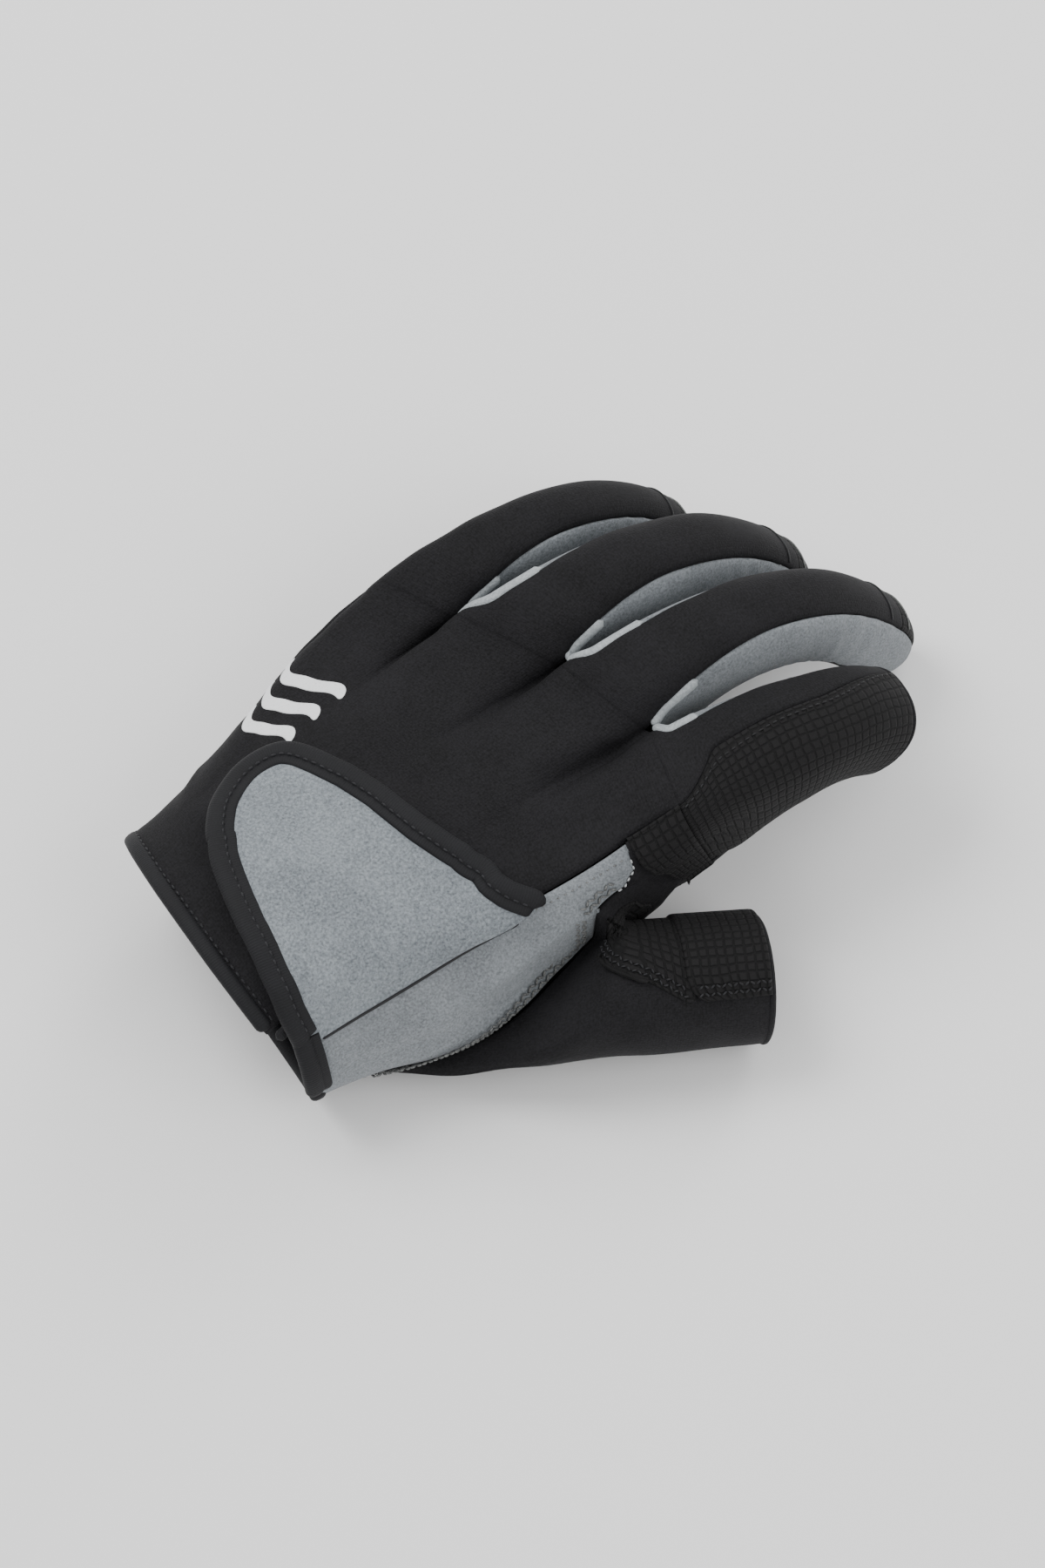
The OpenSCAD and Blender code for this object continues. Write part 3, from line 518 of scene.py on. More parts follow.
def fastener_material():
    """Touch fastener: a pile of tiny loops or hooks."""
    material, tree, surface, rest, _ = fabric("touch_fastener")
    loops = add(tree, "ShaderNodeTexVoronoi", None, Vector=rest, Scale=1.1, Randomness=0.9).outputs[0]
    fuzz = noise(tree, rest, 2.2, 3.0, 0.7)
    tone = weighted(tree, (fuzz, 1), (loops, -0.5))
    colour = ramp(tree, tone, 0.0, 0.5, (0.006, 0.006, 0.007), (0.035, 0.035, 0.04))
    finish_fabric(tree, surface, colour, tone, 0.5, 0.85, 0.15)
    return material


def print_material():
    """White rubbery print, slightly worn by the knit under it."""
    material, tree, surface, rest, _ = fabric("white_print")
    weave = noise(tree, rest, 1.9, 3.0, 0.65)
    colour = ramp(tree, weave, 0.25, 0.45, (0.62, 0.63, 0.64), (0.82, 0.83, 0.84))
    finish_fabric(tree, surface, colour, weave, 0.06, 0.55, 0.0)
    return material


KNIT = knit_material()
GRIP = grip_material("palm_grip", 2.1, (0.0012, 0.0012, 0.0014), (0.0085, 0.008, 0.0085))
PALM = suede_material("palm_black", (0.003, 0.003, 0.0034), (0.012, 0.0118, 0.013), 0.9, 0.25, 0.03)
SUEDE = suede_material("grey_suede", (0.095, 0.108, 0.122), (0.33, 0.365, 0.39), 0.62, 0.42)
SOFT_SUEDE = suede_material("grey_suede_soft", (0.1, 0.11, 0.12), (0.285, 0.307, 0.325), 0.55, 0.26)
LIP = suede_material("pale_suede", (0.24, 0.262, 0.275), (0.46, 0.49, 0.505), 0.6, 0.2)
BINDING = binding_material()
DARK_THREAD = thread_material("dark_thread", (0.004, 0.004, 0.005), (0.012, 0.012, 0.014))
EDGE_THREAD = thread_material("black_thread", (0.003, 0.003, 0.004), (0.02, 0.02, 0.024))
# grey thread for the gusset's stitching; the same material paints the highlight line along the finger tip
# seams
GREY_THREAD_AND_SEAM_HIGHLIGHT = thread_material("grey_thread_and_seam_highlight", (0.06, 0.062, 0.062), (0.2, 0.204, 0.2))
PALE_THREAD = thread_material("pale_thread", (0.3, 0.31, 0.32), (0.6, 0.61, 0.62))
FASTENER = fastener_material()
PRINT = print_material()


def on_finger(piece):
    """Bakes the piece's placement into its mesh."""
    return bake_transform(piece)


def on_thumb(piece):
    """Bakes the piece's placement into its mesh."""
    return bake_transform(piece)


def on_hand(piece):
    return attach(piece, "hand")


def on_tab(piece):
    """Bakes the piece's placement into its mesh."""
    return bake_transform(piece)


# ---------- fingers ----------
INDEX_END = 0.985  # where the index finger's cloth stops under its hem
TIP_START = 0.865  # where a closed finger's tip cloth takes over
BACK_COLS = [16, 24, 24, 24]


def columns(stops, counts):
    """Positions through the stops, with counts steps between each two."""
    spans = [np.linspace(a, b, n + 1)[1:] for a, b, n in zip(stops, stops[1:], counts)]
    return np.concatenate([[stops[0]], *spans])


# the little finger's columns go on past the side of the hand, as the hand's own panels do
LITTLE_COLS = columns((0, 1, 2), (24, 10))[None]


def inner_edge(s):
    """Degrees from the thumb side where a finger's back ends, and from both sides where its palm does."""
    return 20 + 26 * smooth(0, 0.45, s)


def outer_edge(s):
    """Degrees from the little-finger side where a finger's back panel ends."""
    return 20 + 34 * smooth(0, 0.08, s) - 27 * smooth(0.14, 0.4, s)


def index_top(s):
    """Degrees round the index finger where its back panel meets the grip patch."""
    return 111.9 - 20 * smooth(0, 0.2, s) - 18 * smooth(0.6, 1, s)


def finger_back(k):
    top = index_top if k == INDEX else (lambda s: 180 - inner_edge(s))
    low = (lambda s: 0 * s) if k == LITTLE else outer_edge
    s = (INDEX_END if k == INDEX else TIP_START) * steps(70, 0, 1)[:, None]
    if k == LITTLE:
        f = LITTLE_COLS
        side = outer_edge(0 * s)
        th = np.where(f <= 1, top(s) + (side - top(s)) * f, side * (2 - f))
    else:
        f = np.linspace(0, 1, BACK_COLS[k] + 1)[None]
        th = top(s) + (low(s) - top(s)) * f
    p = finger(k, s, th)
    p = p + grid_normals(p, 1) * ripple(p)[..., None] * smooth(0, 0.1, s)[..., None]
    free = smooth(0.03, 0.07, s)[..., None]
    p = rolled(p, 1, (0, 1, 0, 0), 0.5, 1.0)
    p = rolled(p, 1, (0, 0, 1, 0 if k == LITTLE else 1), 0.55, 1.1) * free + p * (1 - free)
    piece = shell(FINGERS[k] + "_back_cloth", p, 1, KNIT)
    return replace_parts(on_finger(piece), FINGERS[k] + "_back")


def finger_side(k, inner):
    """Grey side strip of a finger, with soft ripples, running on round the tip."""
    mid = 180 if inner else 0
    edge = inner_edge if inner else outer_edge
    end = INDEX_END if k == INDEX else 0.997
    s = 0.035 + (end - 0.035) * steps(64)[:, None]
    f = steps(16, 1, 1)[None]
    low = inner_edge(s)  # both sides meet the underside at the same angle
    first, last = (mid - edge(s), mid + low) if inner else (mid - low, mid + edge(s))
    p = finger(k, s, first + (last - first) * f)
    pucker = (0.22 * np.sin(2 * math.pi * (s * 17 + 0.35 * np.sin(5 * f + k))) * bump(s, 0.72, 0.16)
              + 0.3 * np.sin(math.pi * f) - 0.1)
    p = p + grid_normals(p, -1) * (pucker * smooth(0.05, 0.15, s))[..., None]
    p = rolled(p, -1, (0, 0, 1, 1), 0.55, 1.1)
    piece = shell(f"{FINGERS[k]}_{'inner' if inner else 'outer'}_side_cloth", p, -1, SOFT_SUEDE)
    names = {(INDEX, 0): "index_side", (LITTLE, 1): "little_side"}
    node = names.get((k, int(inner)), f"{FINGERS[k]}_side_{'inner' if inner else 'outer'}")
    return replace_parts(on_finger(piece), node)


def finger_palm(k):
    """Black suede under a finger."""
    s = (INDEX_END if k == INDEX else TIP_START) * steps(60, 0, 1)[:, None]
    last = 360 + 0 * s if k == LITTLE else 360 - inner_edge(s)
    if k == LITTLE:
        f = LITTLE_COLS
        first, side = 180 + inner_edge(s), 340 + 0 * s
        th = np.where(f <= 1, first + (side - first) * f, side + (last - side) * (f - 1))
    else:
        f = np.linspace(0, 1, 25)[None]
        first = 200 + 0 * s if k == INDEX else 180 + inner_edge(s)
        th = first + (last - first) * f
    p = finger(k, s, th)
    free = smooth(0.03, 0.07, s)[..., None]
    p = rolled(p, -1, (0, 1, 0, 0), 0.5, 1.0)
    p = rolled(p, -1, (0, 0, k != INDEX, k != LITTLE), 0.55, 1.1) * free + p * (1 - free)
    piece = shell(FINGERS[k] + "_palm_cloth", p, -1, PALM)
    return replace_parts(on_finger(piece), FINGERS[k] + "_palm")


def finger_tip(k):
    """Cap of grip fabric that wraps over the end of the finger, between the grey side strips."""
    borders = (("over", lambda s: 180 - inner_edge(s), outer_edge),
               ("under", lambda s: 180 + inner_edge(s), lambda s: 360 - inner_edge(s)))
    for name, first, last in borders:
        if k == LITTLE:
            last = (lambda s: 0 * s) if name == "over" else (lambda s: 360 + 0 * s)
        s = 0.862 + 0.135 * (1 - (1 - steps(18, 1, 0)[:, None]) ** 1.6)
        p = finger(k, s, first(s) + (last(s) - first(s)) * steps(20, 1, 1)[None])
        sign = 1 if name == "over" else -1
        p = p + grid_normals(p, sign) * 0.12
        p = rolled(p, sign, (1, 0, 1, k != LITTLE), 0.6, 1.0)
        piece = on_finger(shell(f"{FINGERS[k]}_tip_{name}", p, sign, GRIP, 1.0))
        if name == "over":
            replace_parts(piece, FINGERS[k] + "_tip")


def finger_normal(k, s, th):
    p = [finger(k, s + a, th + b) for a, b in ((0.002, 0), (-0.002, 0), (0, 0.5), (0, -0.5))]
    return -unit(np.cross(p[0] - p[1], p[2] - p[3]))


def tip_seam_and_highlight_lines(k):
    """A dark line of seam across the start of the tip, and a pale line beside it that is a painted highlight
    on the seam.
    """
    for n, at in enumerate((0.815, 0.885)):
        f = np.linspace(0.06, 0.94, 40)
        th = 180 - inner_edge(at) + (outer_edge(at) - 180 + inner_edge(at)) * f
        s = at + 0.03 * (f - 0.5) ** 2
        path, outs = finger(k, s, th), finger_normal(k, s, th)
        # n = 1 is the pale line: a painted highlight along the seam's ridge, drawn as a grey thread tube
        lift = 0.3 if n else ripple(path)[:, None] + 0.12
        seam = tube(f"{FINGERS[k]}_tip_seam_{n}", path + outs * lift, outs, 0.3, 0.22,
                    GREY_THREAD_AND_SEAM_HIGHLIGHT if n else DARK_THREAD, 8)
        on_finger(seam)


def crotch(k):
    """Pale rolled lips of the opening between fingers k and k + 1, and the cloth down inside it."""
    reach, deep = 0.2, (0.026, 0.03, 0.012)[k]
    sides = ((k, lambda s: outer_edge(s) - 3), (k + 1, lambda s: 183 - inner_edge(s)))
    for n, (j, edge) in enumerate(sides):
        s = np.concatenate([np.linspace(reach, deep + 0.012, 16), np.linspace(deep + 0.009, deep, 5)])
        th = edge(s)
        path = finger(j, s, th)
        middle = (finger(k, deep, outer_edge(deep)) + finger(k + 1, deep, 180 - inner_edge(deep))) / 2
        pull = smooth(deep + 0.03, deep, s)[:, None]
        path = path * (1 - pull) + (middle + (path - path[-1]) * 0.35) * pull
        outs = unit(finger_normal(j, s, th) + np.array([0, 0, 0.6]))
        lip = tube(f"{FINGERS[k]}_{FINGERS[k + 1]}_lip_{n}", path - outs * 0.25, outs, 1.25, 0.95, LIP,
                   12)
        on_finger(lip)
    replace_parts(on_hand(crotch_web(k)), f"web_{FINGERS[k]}_{FINGERS[k + 1]}")


def crotch_web(k):
    """Side cloth that joins the two fingers down inside the opening."""
    v = steps(12)[:, None]
    th = 20 - 40 * v
    f = steps(12)[None]
    a, b = finger(k, 0.075, th), finger(k + 1, 0.075, 180 - th)
    sag = 2.2 * (1 - (2 * f - 1) ** 2) + 0.4
    p = a + (b - a) * f[..., None] - sag[..., None] * np.array([1, 0, 0])
    return shell(f"{FINGERS[k]}_{FINGERS[k + 1]}_web", p, 1, SOFT_SUEDE, 0.8)


def patch_angles(s, f):
    """Degrees round the index finger across its patch, f from the back round the thumb side."""
    first, last = index_top(s) - 1.5, 192 + 42 * smooth(0, 0.3, s)
    return first + (last - first) * f


def index_patch():
    """Raised grip patch on the index finger's thumb side and underside."""
    s = 0.975 * steps(70, 0, 1)[:, None]
    f = steps(40, 1, 1)[None]
    p = finger(INDEX, s, patch_angles(s, f))
    n = grid_normals(p, -1)
    p = p + n * (0.75 + 0.1 * np.sin(9 * s + 5 * f) * smooth(0, 0.1, s))[..., None]
    p = rolled(p, -1, (0, 1, 1, 1), 0.7, 1.0)
    piece = shell("index_patch_cloth", p, -1, GRIP, 0.7)
    on_finger(piece)
    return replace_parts(piece, "index_patch")


def patch_start(u):
    """Near edge of the index patch on the hand."""
    f = (0.0886 - u) / 0.8886
    return 0.868 + 0.01 * np.sin(3 * f) + 0.06 * smooth(0.5, 0.85, f)


def index_patch_root():
    """Start of the same patch, on the hand side of the knuckle."""
    th = patch_angles(0.0, steps(40, 1, 1)[None])
    u = np.where(th < 160, (160 - th) / 560, (160 - th) / 40)
    low = patch_start(u)
    s = low + (1 - low) * steps(14, 1, 0)[:, None]
    p = raised(s, u + 0 * s, 0.75 + 0 * s * u)
    p = rolled(p, 1, (1, 0, 1, 1), 0.7, 1.0)
    piece = shell("index_patch_start", p, 1, GRIP, 0.7)
    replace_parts(on_hand(piece), "index_patch_root")
    return piece


def patch_stitches():
    """Double row of stitching inside the patch's near edge, and one along its seam on the back."""
    u = np.linspace(0.05, -0.72, 60)
    for n, inset in enumerate((0.02, 0.05)):
        hand_stitches(f"index_patch_stitch_{n}", patch_start(u) + inset, u, 0.85, EDGE_THREAD, "palm_grip",
                      1.5, 1.0, 0.2, 25)
    s = np.linspace(0.01, 0.96, 160)
    th = index_top(s) + 5
    path, outs = finger(INDEX, s, th), finger_normal(INDEX, s, th)
    on_finger(stitches("index_patch_edge_stitch", path + outs * 0.8, outs, DARK_THREAD, "palm_grip",
                       1.9, 1.2, 0.2))


def hem(name, p):
    """Turned edge of an open end; p is a grid round its last millimetres."""
    p = p + grid_normals(p, -1, True) * 0.3
    p = rolled(p, -1, (1, 1, 0, 0), 0.6, 0.7, True)
    return shell(name, p, -1, KNIT, 1.7, wrap=True)


def index_hem():
    s = 0.978 + 0.022 * steps(6, 1, 1)[:, None]
    piece = hem("index_hem_cloth", finger(INDEX, s, np.arange(0, 360, 4.0)[None] + 0 * s))
    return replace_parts(on_finger(piece), "index_hem")


# ---------- hand ----------
def border(s):
    """Where the thumb-side gusset meets the back panel."""
    return 0.1 * np.minimum(s, 0.86)


def back_folds(s, u):
    """Soft folds of the back: one slants to the index knuckle, others lie along the bones."""
    slant = u - (0.37 - 0.4 * (s - 0.78))
    along = smooth(0.55, 0.8, s) * (1 - smooth(0.95, 1, s))
    fold = 0.8 * bump(slant, 0.0, 0.05) - 0.6 * bump(slant, 0.09, 0.06)
    bones = 0.45 * np.cos(2 * math.pi * (u * 4 + 0.5)) * smooth(0.55, 0.85, s) * (1 - smooth(0.93, 1, s))
    wrist = 0.5 * bump(s - 0.25 * (u - 0.8), 0.16, 0.03) * smooth(0.7, 0.9, u)
    return (fold * along + bones + wrist) * smooth(0.1, 0.2, u) * (1 - smooth(1.2, 1.4, u))


def hand_back():
    s = steps(110, 1, 0)[:, None]
    cut = border(s) + 0.002 + 0.07 * (1 - smooth(0.36, 0.44, s))
    first = cut + (0.25 - cut) * np.linspace(0, 1, 17)[None]
    th0 = index_top(0 * s)
    first[-1] = (160 - (th0[0] + (outer_edge(0) - th0[0]) * np.linspace(0, 1, 17))) / 560
    blend_in = smooth(0.9, 1, s)
    first = first * (1 - blend_in) + first[-1] * blend_in
    rest = columns((0.25, 0.5, 0.75, 1.0, 1.5), (24, 24, 24, 10))[1:]
    u = np.hstack([first, np.broadcast_to(rest, (len(s), len(rest)))])
    p = palm(s + 0 * u, u)
    n = grid_normals(p, 1)
    p = p + n * ((ripple(p) + back_folds(s, u)) * (1 - smooth(0.92, 1, s)))[..., None]
    free = (1 - smooth(0.96, 1, s))[..., None]
    p = rolled(p, 1, (0, 0, 1, 1), 0.6, 1.2) * free + p * (1 - free)
    piece = shell("hand_back_cloth", p, 1, KNIT)
    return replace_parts(on_hand(piece), "back_panel")


HOLE_STEPS = 40  # from each point of the thumb hole to the next
HOLE_CURVE = closed_curve(HOLE, np.linspace(0, 1, len(HOLE) * HOLE_STEPS, endpoint=False))


def hole_side(first, last):
    """The stretch of the thumb hole's edge between two of its points, as [s, u] sorted by s."""
    part = np.vstack([HOLE_CURVE, HOLE_CURVE[:1]])[first * HOLE_STEPS:last * HOLE_STEPS + 1]
    return part[np.argsort(part[:, 0])]


def gusset_low(s):
    """Lower border of the side gusset: the thumb hole's upper edge, then the cuff."""
    edge = hole_side(1, 6)
    return np.interp(s, [0, *edge[:, 0], 0.862], [-1.16, *edge[:, 1], 0.07])


def corner_tape_s(u):
    """Where the tape at the gusset's near corner crosses the line u."""
    return 0.058 + 0.083 * (np.minimum(u, 0) + 0.06)


def side_gusset():
    s = 0.86 * steps(100, 1, 0)[:, None]
    low, high = gusset_low(s) + 0 * s, border(s) - 0.002
    u = low + (high - low) * steps(34, 1, 1)[None]
    start = corner_tape_s(u) * smooth(-0.62, -0.52, u)  # the cloth begins under the corner tape
    s = start + (0.86 - start) * s / 0.86
    p = palm(s + 0 * u, u)
    fold = 0.25 * bump(u, -0.45, 0.12) * bump(s, 0.45, 0.2)
    p = p + grid_normals(p, 1) * ((ripple(p) + fold) * smooth(0.85, 0.7, s))[..., None]
    p = rolled(p, 1, (0, 0, 1, 1), 0.5, 1.1)
    piece = shell("side_gusset_cloth", p, 1, SOFT_SUEDE)
    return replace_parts(on_hand(piece), "side_gusset")


def thumb_web():
    """Plain black cloth between the gusset's tip, the index finger and the thumb."""
    u = -1 + (1 + border(1)) * steps(36)[None]
    low = np.interp(u, [-1, -0.74, -0.5, -0.38, 0.09], [0.895, 0.93, 0.86, 0.81, 0.862])
    s = low + (1 - low) * steps(18)[:, None]
    p = palm(s, u + 0 * s)
    piece = shell("thumb_web_cloth", p, 1, KNIT)
    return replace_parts(on_hand(piece), "thumb_web")


def hand_palm():
    s = steps(90)[:, None]
    edge = hole_side(6, 11)
    along = np.linspace(0.13, 0.9, 20)
    stop = np.interp(s, [0, 0.1, *along, 0.93, 1],
                     [2.86, 2.9, *np.interp(along, edge[:, 0], edge[:, 1] + 4), 3.0, 3.0])
    cols = columns((1.5, 2.0, 2.25, 2.5, 2.75, 3.0), (10, 24, 24, 24, 24))
    t = (cols - 1.5) / 1.5
    u = 1.5 + (stop - 1.5) * t[None]
    p = palm(s + 0 * u, u)
    crease = 0.5 * bump(s - 0.12 * (u - 2.3), 0.8, 0.03) + 0.5 * bump(s + 0.1 * (u - 2.3), 0.6, 0.03)
    p = p + grid_normals(p, 1) * ((ripple(p) - crease) * (1 - smooth(0.9, 1, s)))[..., None]
    free = (1 - smooth(0.96, 1, s))[..., None]
    p = rolled(p, 1, (0, 0, 1, 1), 0.6, 1.2) * free + p * (1 - free)
    piece = shell("hand_palm_cloth", p, 1, PALM)
    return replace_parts(on_hand(piece), "palm_panel")


def thumb_cloth():
    """Black stretch cloth from the hole to the stall's open end, with creases where the thumb bends."""
    t = np.concatenate([np.linspace(0, 1, 46), 1 + np.linspace(0, 0.96, 36)[1:]])[:, None]
    ph = np.arange(0, 360, 3.0)[None]
    p = thumb(t, ph + 0 * t)
    n = grid_normals(p, -1, True)
    crease = 0.35 * np.sin(14 * t + 0.03 * ph) * bump(t, 0.8, 0.25) * bump(ph, 120, 70)
    p = p + n * ((ripple(p) * 1.3 + crease) * smooth(0, 0.15, t) * smooth(1.96, 1.8, t))[..., None]
    p = rolled(p, -1, (1, 0, 0, 0), 0.5, 1.0, True)
    piece = shell("thumb_cloth", p, -1, KNIT, 1.2, wrap=True)
    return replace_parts(on_thumb(piece), "thenar_panel", "thumb_back", "thumb_palm")


def patch_low(t):
    """Lower border of the thumb's grip patches, in degrees round the thumb."""
    return np.interp(t, [0.3, 0.37, 0.65, 0.98, 1.3, 2], [62, 75, 92, 111, 133, 132])


def thumb_patch(name, t0, t1, height, ph_far, corner, roll_end):
    """A raised grip patch whose visible near corner is rounded."""
    f = steps(44, 1, 1)[None]
    v = steps(40, 1, roll_end)[:, None]
    near = 1 - np.sqrt(np.clip(1 - np.clip((f - (1 - corner)) / corner, 0, 1) ** 2, 0, 1))
    t = t0 + 0.18 * near + (t1 - t0 - 0.18 * near) * v
    ph = ph_far + (patch_low(t) - ph_far) * f
    p = thumb(t, ph)
    n = grid_normals(p, -1)
    p = rolled(p + n * height, -1, (1, roll_end, 1, 1), 0.75, 0.9)
    return on_thumb(shell(name, p, -1, GRIP, 0.8))


def thumb_patches():
    thumb_patch("thumb_base_patch", 0.36, 1.36, 0.7, -40, 0.15, 0)
    tip = thumb_patch("thumb_tip_patch", 1.3, 1.97, 1.45, -50, 0.14, 1)
    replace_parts(tip, "thumb_patch")
    rows = ((0.42, 1.3, 0.8, 5), (0.42, 1.3, 0.8, 11), (1.38, 1.95, 1.55, 6), (1.38, 1.95, 1.55, 12))
    for n, (t0, t1, lift, inset) in enumerate(rows):
        t = np.linspace(t0, t1, 80)
        ph = patch_low(t) - inset
        outs = thumb_normal(t, ph)
        on_thumb(stitches(f"thumb_patch_stitch_{n}", thumb(t, ph) + outs * lift, outs, EDGE_THREAD,
                          "palm_grip", 1.3, 1.1, 0.21, 38))


def thumb_normal(t, ph):
    p = [thumb(t + a, ph + b) for a, b in ((0.004, 0), (-0.004, 0), (0, 0.6), (0, -0.6))]
    return -unit(np.cross(p[0] - p[1], p[2] - p[3]))


def thumb_hem():
    t = 1.95 + 0.05 * steps(6, 1, 1)[:, None]
    piece = hem("thumb_hem_cloth", thumb(t, np.arange(0, 360, 4.0)[None] + 0 * t))
    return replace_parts(on_thumb(piece), "thumb_hem")


def hand_stitches(name, s, u, lift, thread, slot, *sizes):
    """Stitching along a line on the hand."""
    return on_hand(stitches(name, raised(s, u, lift), palm_normal(s, u), thread, slot, *sizes))


def cuff_binding():
    """Folded tape round the cuff and its thumb-side corner, and its stitching."""
    u = np.linspace(0.085, 3.33, 260)
    path = palm(0.006, u)
    outs = palm_normal(0.012, u)
    tape = tube("cuff_tape", path - outs * 0.5, outs, 1.9, 1.35, BINDING, 16, 0.8)
    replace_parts(on_hand(tape), "cuff_binding")
    u = np.linspace(-0.06, -0.6, 60)
    s = corner_tape_s(u)
    rolled_tape("gusset_corner_tape", s, u, tape_height(u), on_hand, (0, 1))
    u = np.linspace(0.1, 2.9, 220)
    hand_stitches("cuff_stitches", 0.027 + 0 * u, u, 0.15, EDGE_THREAD, "black_knit", 2.0, 1.3, 0.26)


def slit_binding():
    s = np.linspace(0.01, 0.38, 60)
    u = border(s) + 0.03 + 0.01 * np.sin(8 * s)
    path, outs = palm(s, u), palm_normal(s, u)
    tape = tube("slit_tape", path - outs * 0.3, outs, 1.3, 1.0, BINDING)
    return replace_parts(on_hand(tape), "slit_binding")


def gusset_stitches():
    """Grey double zigzag along the gusset's lower border, and pale threads at its tip."""
    s = np.linspace(0.02, 0.79, 240)
    for n, inset in enumerate((1.3, 2.9)):
        hand_stitches(f"gusset_zigzag_{n}", s, gusset_low(s) + 0.02, 0.25 - 0.2 * n, GREY_THREAD_AND_SEAM_HIGHLIGHT,
                      "grey_suede", 1.25, 1.7, 0.3, 48, -inset)
    s = np.linspace(0.79, 0.856, 30)
    hand_stitches("gusset_tip_stitches", s, gusset_low(s) + 0.02, 0.1, PALE_THREAD, "grey_suede",
                  1.7, 1.0, 0.24)
    s = np.linspace(0.62, 0.85, 60)
    hand_stitches("gusset_top_stitches", s, border(s) - 0.035, 0.1, GREY_THREAD_AND_SEAM_HIGHLIGHT, "grey_suede", 1.8, 0.7, 0.18)


def wave_mark():
    """Generic white print on the back: three wave bars."""
    for n, mid in enumerate((0.47, 0.555, 0.64)):
        v, f = steps(48)[:, None], steps(8)[None]
        u = 0.76 + 0.32 * v + 0 * f
        half = 0.02 * np.sqrt(np.clip(1 - (2 * v - 1) ** 6, 0.02, 1))
        s = mid + 0.018 * np.sin(2 * math.pi * v * 1.5) + half * (2 * f - 1)
        base = palm(s, u)
        lift = ripple(base) + back_folds(s, u)
        p = base + palm_normal(s, u) * (lift + 0.14)[..., None]
        on_hand(shell(f"wave_bar_{n}", p, -1, PRINT, 0.3))


# ---------- closing tab ----------
TAB = np.array([[0.632, 0.042], [0.577, 0.108], [0.53, 0.165], [0.505, 0.3], [0.489, 0.428], [0.467, 0.56],
                [0.445, 0.66], [0.395, 0.724], [0.325, 0.745], [0.25, 0.71], [0.195, 0.65], [0.15, 0.575],
                [0.122, 0.47], [0.1, 0.345], [0.08, 0.215], [0.065, 0.08], [0.058, -0.06], [0.07, -0.15],
                [0.2, -0.15], [0.33, -0.115], [0.46, -0.047], [0.58, 0.008]])
TAB_END = 16 / 22  # where the free edge meets the corner tape, as a share of the outline
TAB_CENTRE = np.array([0.28, 0.32])


def bridged(s, u):
    """Point on the hand, with the creases below the knuckles bridged as the stiff tab does."""
    half = 0.06
    crease = np.clip(np.round(u * 4), 1, 3) / 4
    share = np.clip((u - crease) / half, -1, 1)[..., None] / 2 + 0.5
    across_it = palm(s, crease - half) * (1 - share) + palm(s, crease + half) * share
    return np.where((np.abs(u - crease) < half)[..., None], across_it, palm(s, u))


def spanned_normal(s, u):
    along = bridged(s + 0.01, u) - bridged(s - 0.01, u)
    return unit(np.cross(along, bridged(s, u + 0.02) - bridged(s, u - 0.02)))


def spanned(s, u, height):
    return bridged(s, u) + spanned_normal(s, u) * np.asarray(height, float)[..., None]


def tab_height(u):
    """Height of the tab's underside over the hand: low at the seam, higher over the fastener."""
    return -0.25 + 3.0 * smooth(-0.1, 0.2, u)


def tab_panel():
    t = np.linspace(0, 1, 220, endpoint=False)[None]
    r = 0.002 + 0.998 * (1 - (1 - steps(46)[:, None]) ** 1.15)
    edge = closed_curve(TAB, t[0])
    at = TAB_CENTRE + (r[..., None]) * (edge - TAB_CENTRE)[None]
    s, u = at[..., 0], at[..., 1]
    base = spanned(s, u, tab_height(u) + 0.95)
    wave = 0.45 * np.sin(7 * s + 3 * u) * np.sin(5 * u) + 0.6 * ripple(base)
    base = base + spanned_normal(s, u) * (wave * (1 - r**4))[..., None]
    sink = rolled(base, 1, (0, 1, 0, 0), 0.9, 1.4, True)
    piece = shell("tab_suede", sink, 1, SUEDE, 1.2, wrap=True)
    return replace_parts(on_tab(piece), "tab_panel")


def tape_height(u):
    return tab_height(u) + 0.75


def rolled_tape(name, s, u, lift, place, ends):
    """Wide tape folded over an edge: a round roll outside and a flat flange inside it."""
    path, outs = spanned(s, u, lift), spanned_normal(s, u)
    roll = place(tube(name, path, outs, 2.3, 1.5, BINDING, 20, ends=ends, offset=0.85))
    place(tube(name + "_flange", path - outs * 0.2, outs, 1.7, 0.95, BINDING, 16, 0.7, ends,
               -1.75))
    return roll


def tab_binding():
    s, u = closed_curve(TAB, np.linspace(-0.004, TAB_END, 260)).T
    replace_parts(rolled_tape("tab_tape", s, u, tape_height(u), on_tab, (1, 0)), "tab_binding")
    s, u = closed_curve(TAB, np.linspace(0.014, TAB_END - 0.01, 240)).T
    on_tab(stitches("tab_stitches", spanned(s, u, tape_height(u) + 0.85), spanned_normal(s, u), EDGE_THREAD,
                    "binding", 2.15, 1.4, 0.3, 0, -0.95))
    s, u = closed_curve(TAB, np.linspace(17.2 / 22, 21 / 22, 120)).T
    on_hand(tube("tab_seam", raised(s, u, 0.42), palm_normal(s, u), 0.34, 0.3, DARK_THREAD, 8))


def fastener(name, node, centre, half, low, high, place):
    t = np.linspace(0, 1, 72, endpoint=False)[None]
    r = 0.002 + 0.998 * steps(12)[:, None]
    a = 2 * math.pi * t
    s = centre[0] + half[0] * r * signed_pow(np.cos(a), 0.6)
    u = centre[1] + half[1] * r * signed_pow(np.sin(a), 0.6)
    p = raised(s, u, high + 0 * s)
    piece = shell(name, p, 1, FASTENER, high - low, wrap=True)
    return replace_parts(place(piece), node)


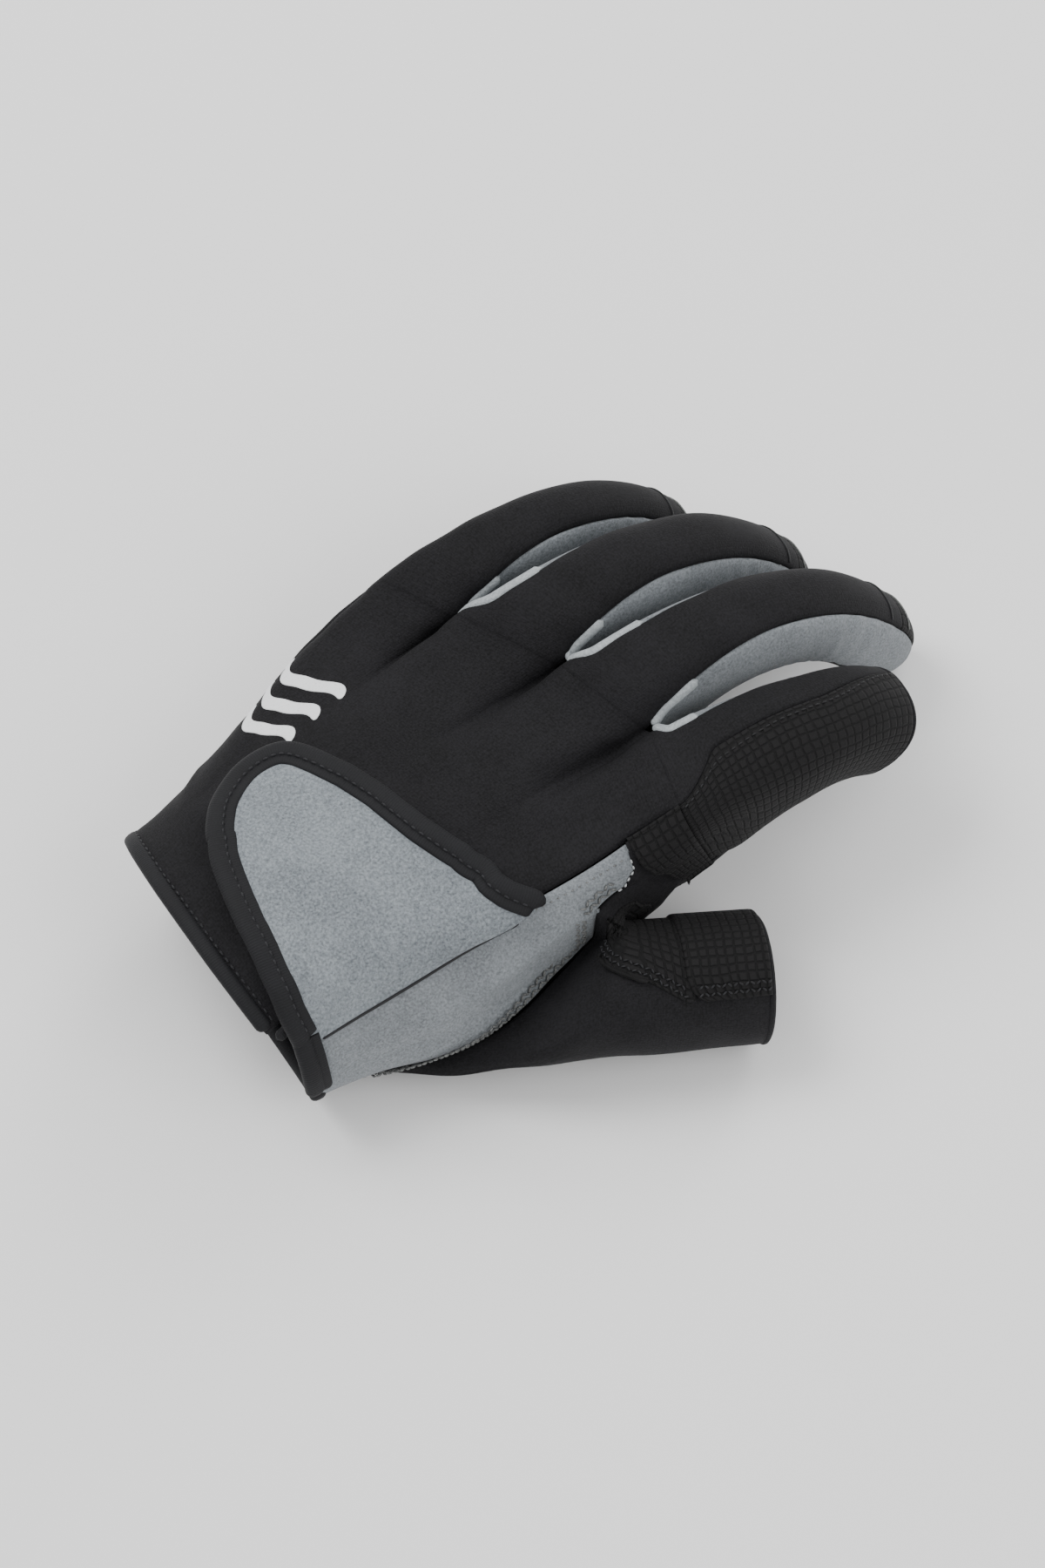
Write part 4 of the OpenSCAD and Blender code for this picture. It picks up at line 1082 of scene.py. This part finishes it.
def heel_pad():
    """Padded heel patch with a flattened underside that the glove rests on."""
    v, f = steps(26)[:, None], steps(30)[None]
    s, u = 0.05 + 0.22 * v + 0 * f, 2.1 + 0.54 * f + 0 * v
    puff = ((1 - np.abs(2 * v - 1) ** 6) * (1 - np.abs(2 * f - 1) ** 6)) ** 0.5
    p = palm(s, u)
    p = p + palm_normal(s, u) * 0.2 * (1 - puff)[..., None]
    p[..., 2] = p[..., 2] * (1 - puff) + 0.05 * puff
    piece = shell("heel_pad", p, 1, GRIP, 0.9)
    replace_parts(on_hand(piece), "heel_patch")


def build_glove():
    backs = [finger_back(k) for k in range(4)]
    palms = [finger_palm(k) for k in range(4)]
    back, under = hand_back(), hand_palm()
    share_normals([back, *backs])
    share_normals([under, *palms])
    for k, inner in ((INDEX, 0), (MIDDLE, 1), (MIDDLE, 0), (RING, 1), (RING, 0), (LITTLE, 1)):
        finger_side(k, bool(inner))
    for k in (MIDDLE, RING, LITTLE):
        finger_tip(k)
        tip_seam_and_highlight_lines(k)
    for k in (INDEX, MIDDLE, RING):
        crotch(k)
    share_normals([index_patch_root(), index_patch()])
    patch_stitches()
    index_hem()
    side_gusset()
    thumb_web()
    thumb_cloth()
    thumb_patches()
    thumb_hem()
    cuff_binding()
    slit_binding()
    gusset_stitches()
    wave_mark()
    tab_panel()
    tab_binding()
    fastener("loop_patch_pile", "loop_patch", (0.29, 0.40), (0.1, 0.17), 0.1, 1.2, on_hand)
    fastener("hook_patch_pile", "hook_patch", (0.29, 0.42), (0.085, 0.14), 1.5, 2.5,
             lambda piece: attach(piece, "tab"))
    heel_pad()


# ---------- studio ----------
def studio_floor():
    bpy.ops.mesh.primitive_plane_add(size=6, location=(0, 0, -0.0003))
    plane = bpy.context.object
    plane.name = "studio_floor"
    material = bpy.data.materials.new("pale_floor")
    material.use_nodes = True
    tree = material.node_tree
    where = add(tree, "ShaderNodeTexCoord").outputs["Object"]
    colour = ramp(tree, noise(tree, where, 2.0), 0.3, 0.7, (0.92, 0.92, 0.92), (0.94, 0.94, 0.94))
    tree.links.new(colour, tree.nodes["Principled BSDF"].inputs["Base Color"])
    tree.nodes["Principled BSDF"].inputs["Roughness"].default_value = 0.9
    plane.data.materials.append(material)


def area_light(name, place, power, size):
    data = bpy.data.lights.new(name, "AREA")
    data.energy, data.size = power, size
    lamp = bpy.data.objects.new(name, data)
    bpy.context.scene.collection.objects.link(lamp)
    lamp.location = place
    lamp.rotation_euler = (-Vector(place)).to_track_quat("-Z", "Y").to_euler()
    return lamp


def studio_lights():
    world = bpy.data.worlds.new("studio")
    bpy.context.scene.world = world
    world.use_nodes = True
    world.node_tree.nodes["Background"].inputs[0].default_value = (1, 1, 1, 1)
    world.node_tree.nodes["Background"].inputs[1].default_value = 0.8
    area_light("key", (-0.5, 0.7, 1.2), 14, 0.8)
    area_light("fill", (0.4, -0.9, 0.9), 7, 0.9)
    area_light("rim", (0.9, 0.6, 0.7), 5, 0.6)


def photo_camera():
    data = bpy.data.cameras.new("photo_camera")
    data.sensor_fit, data.sensor_width, data.sensor_height, data.lens = "AUTO", 36, 36, 122.4
    camera = bpy.data.objects.new("photo_camera", data)
    bpy.context.scene.collection.objects.link(camera)
    target, towards, distance = Vector((-0.0085, 0.0086, 0.030)), Vector((-0.25, -0.433, 0.866)), 1.2
    camera.location = target + distance * towards
    camera.rotation_euler = (target - camera.location).to_track_quat("-Z", "Y").to_euler()
    bpy.context.scene.camera = camera


build_glove()
studio_floor()
studio_lights()
photo_camera()
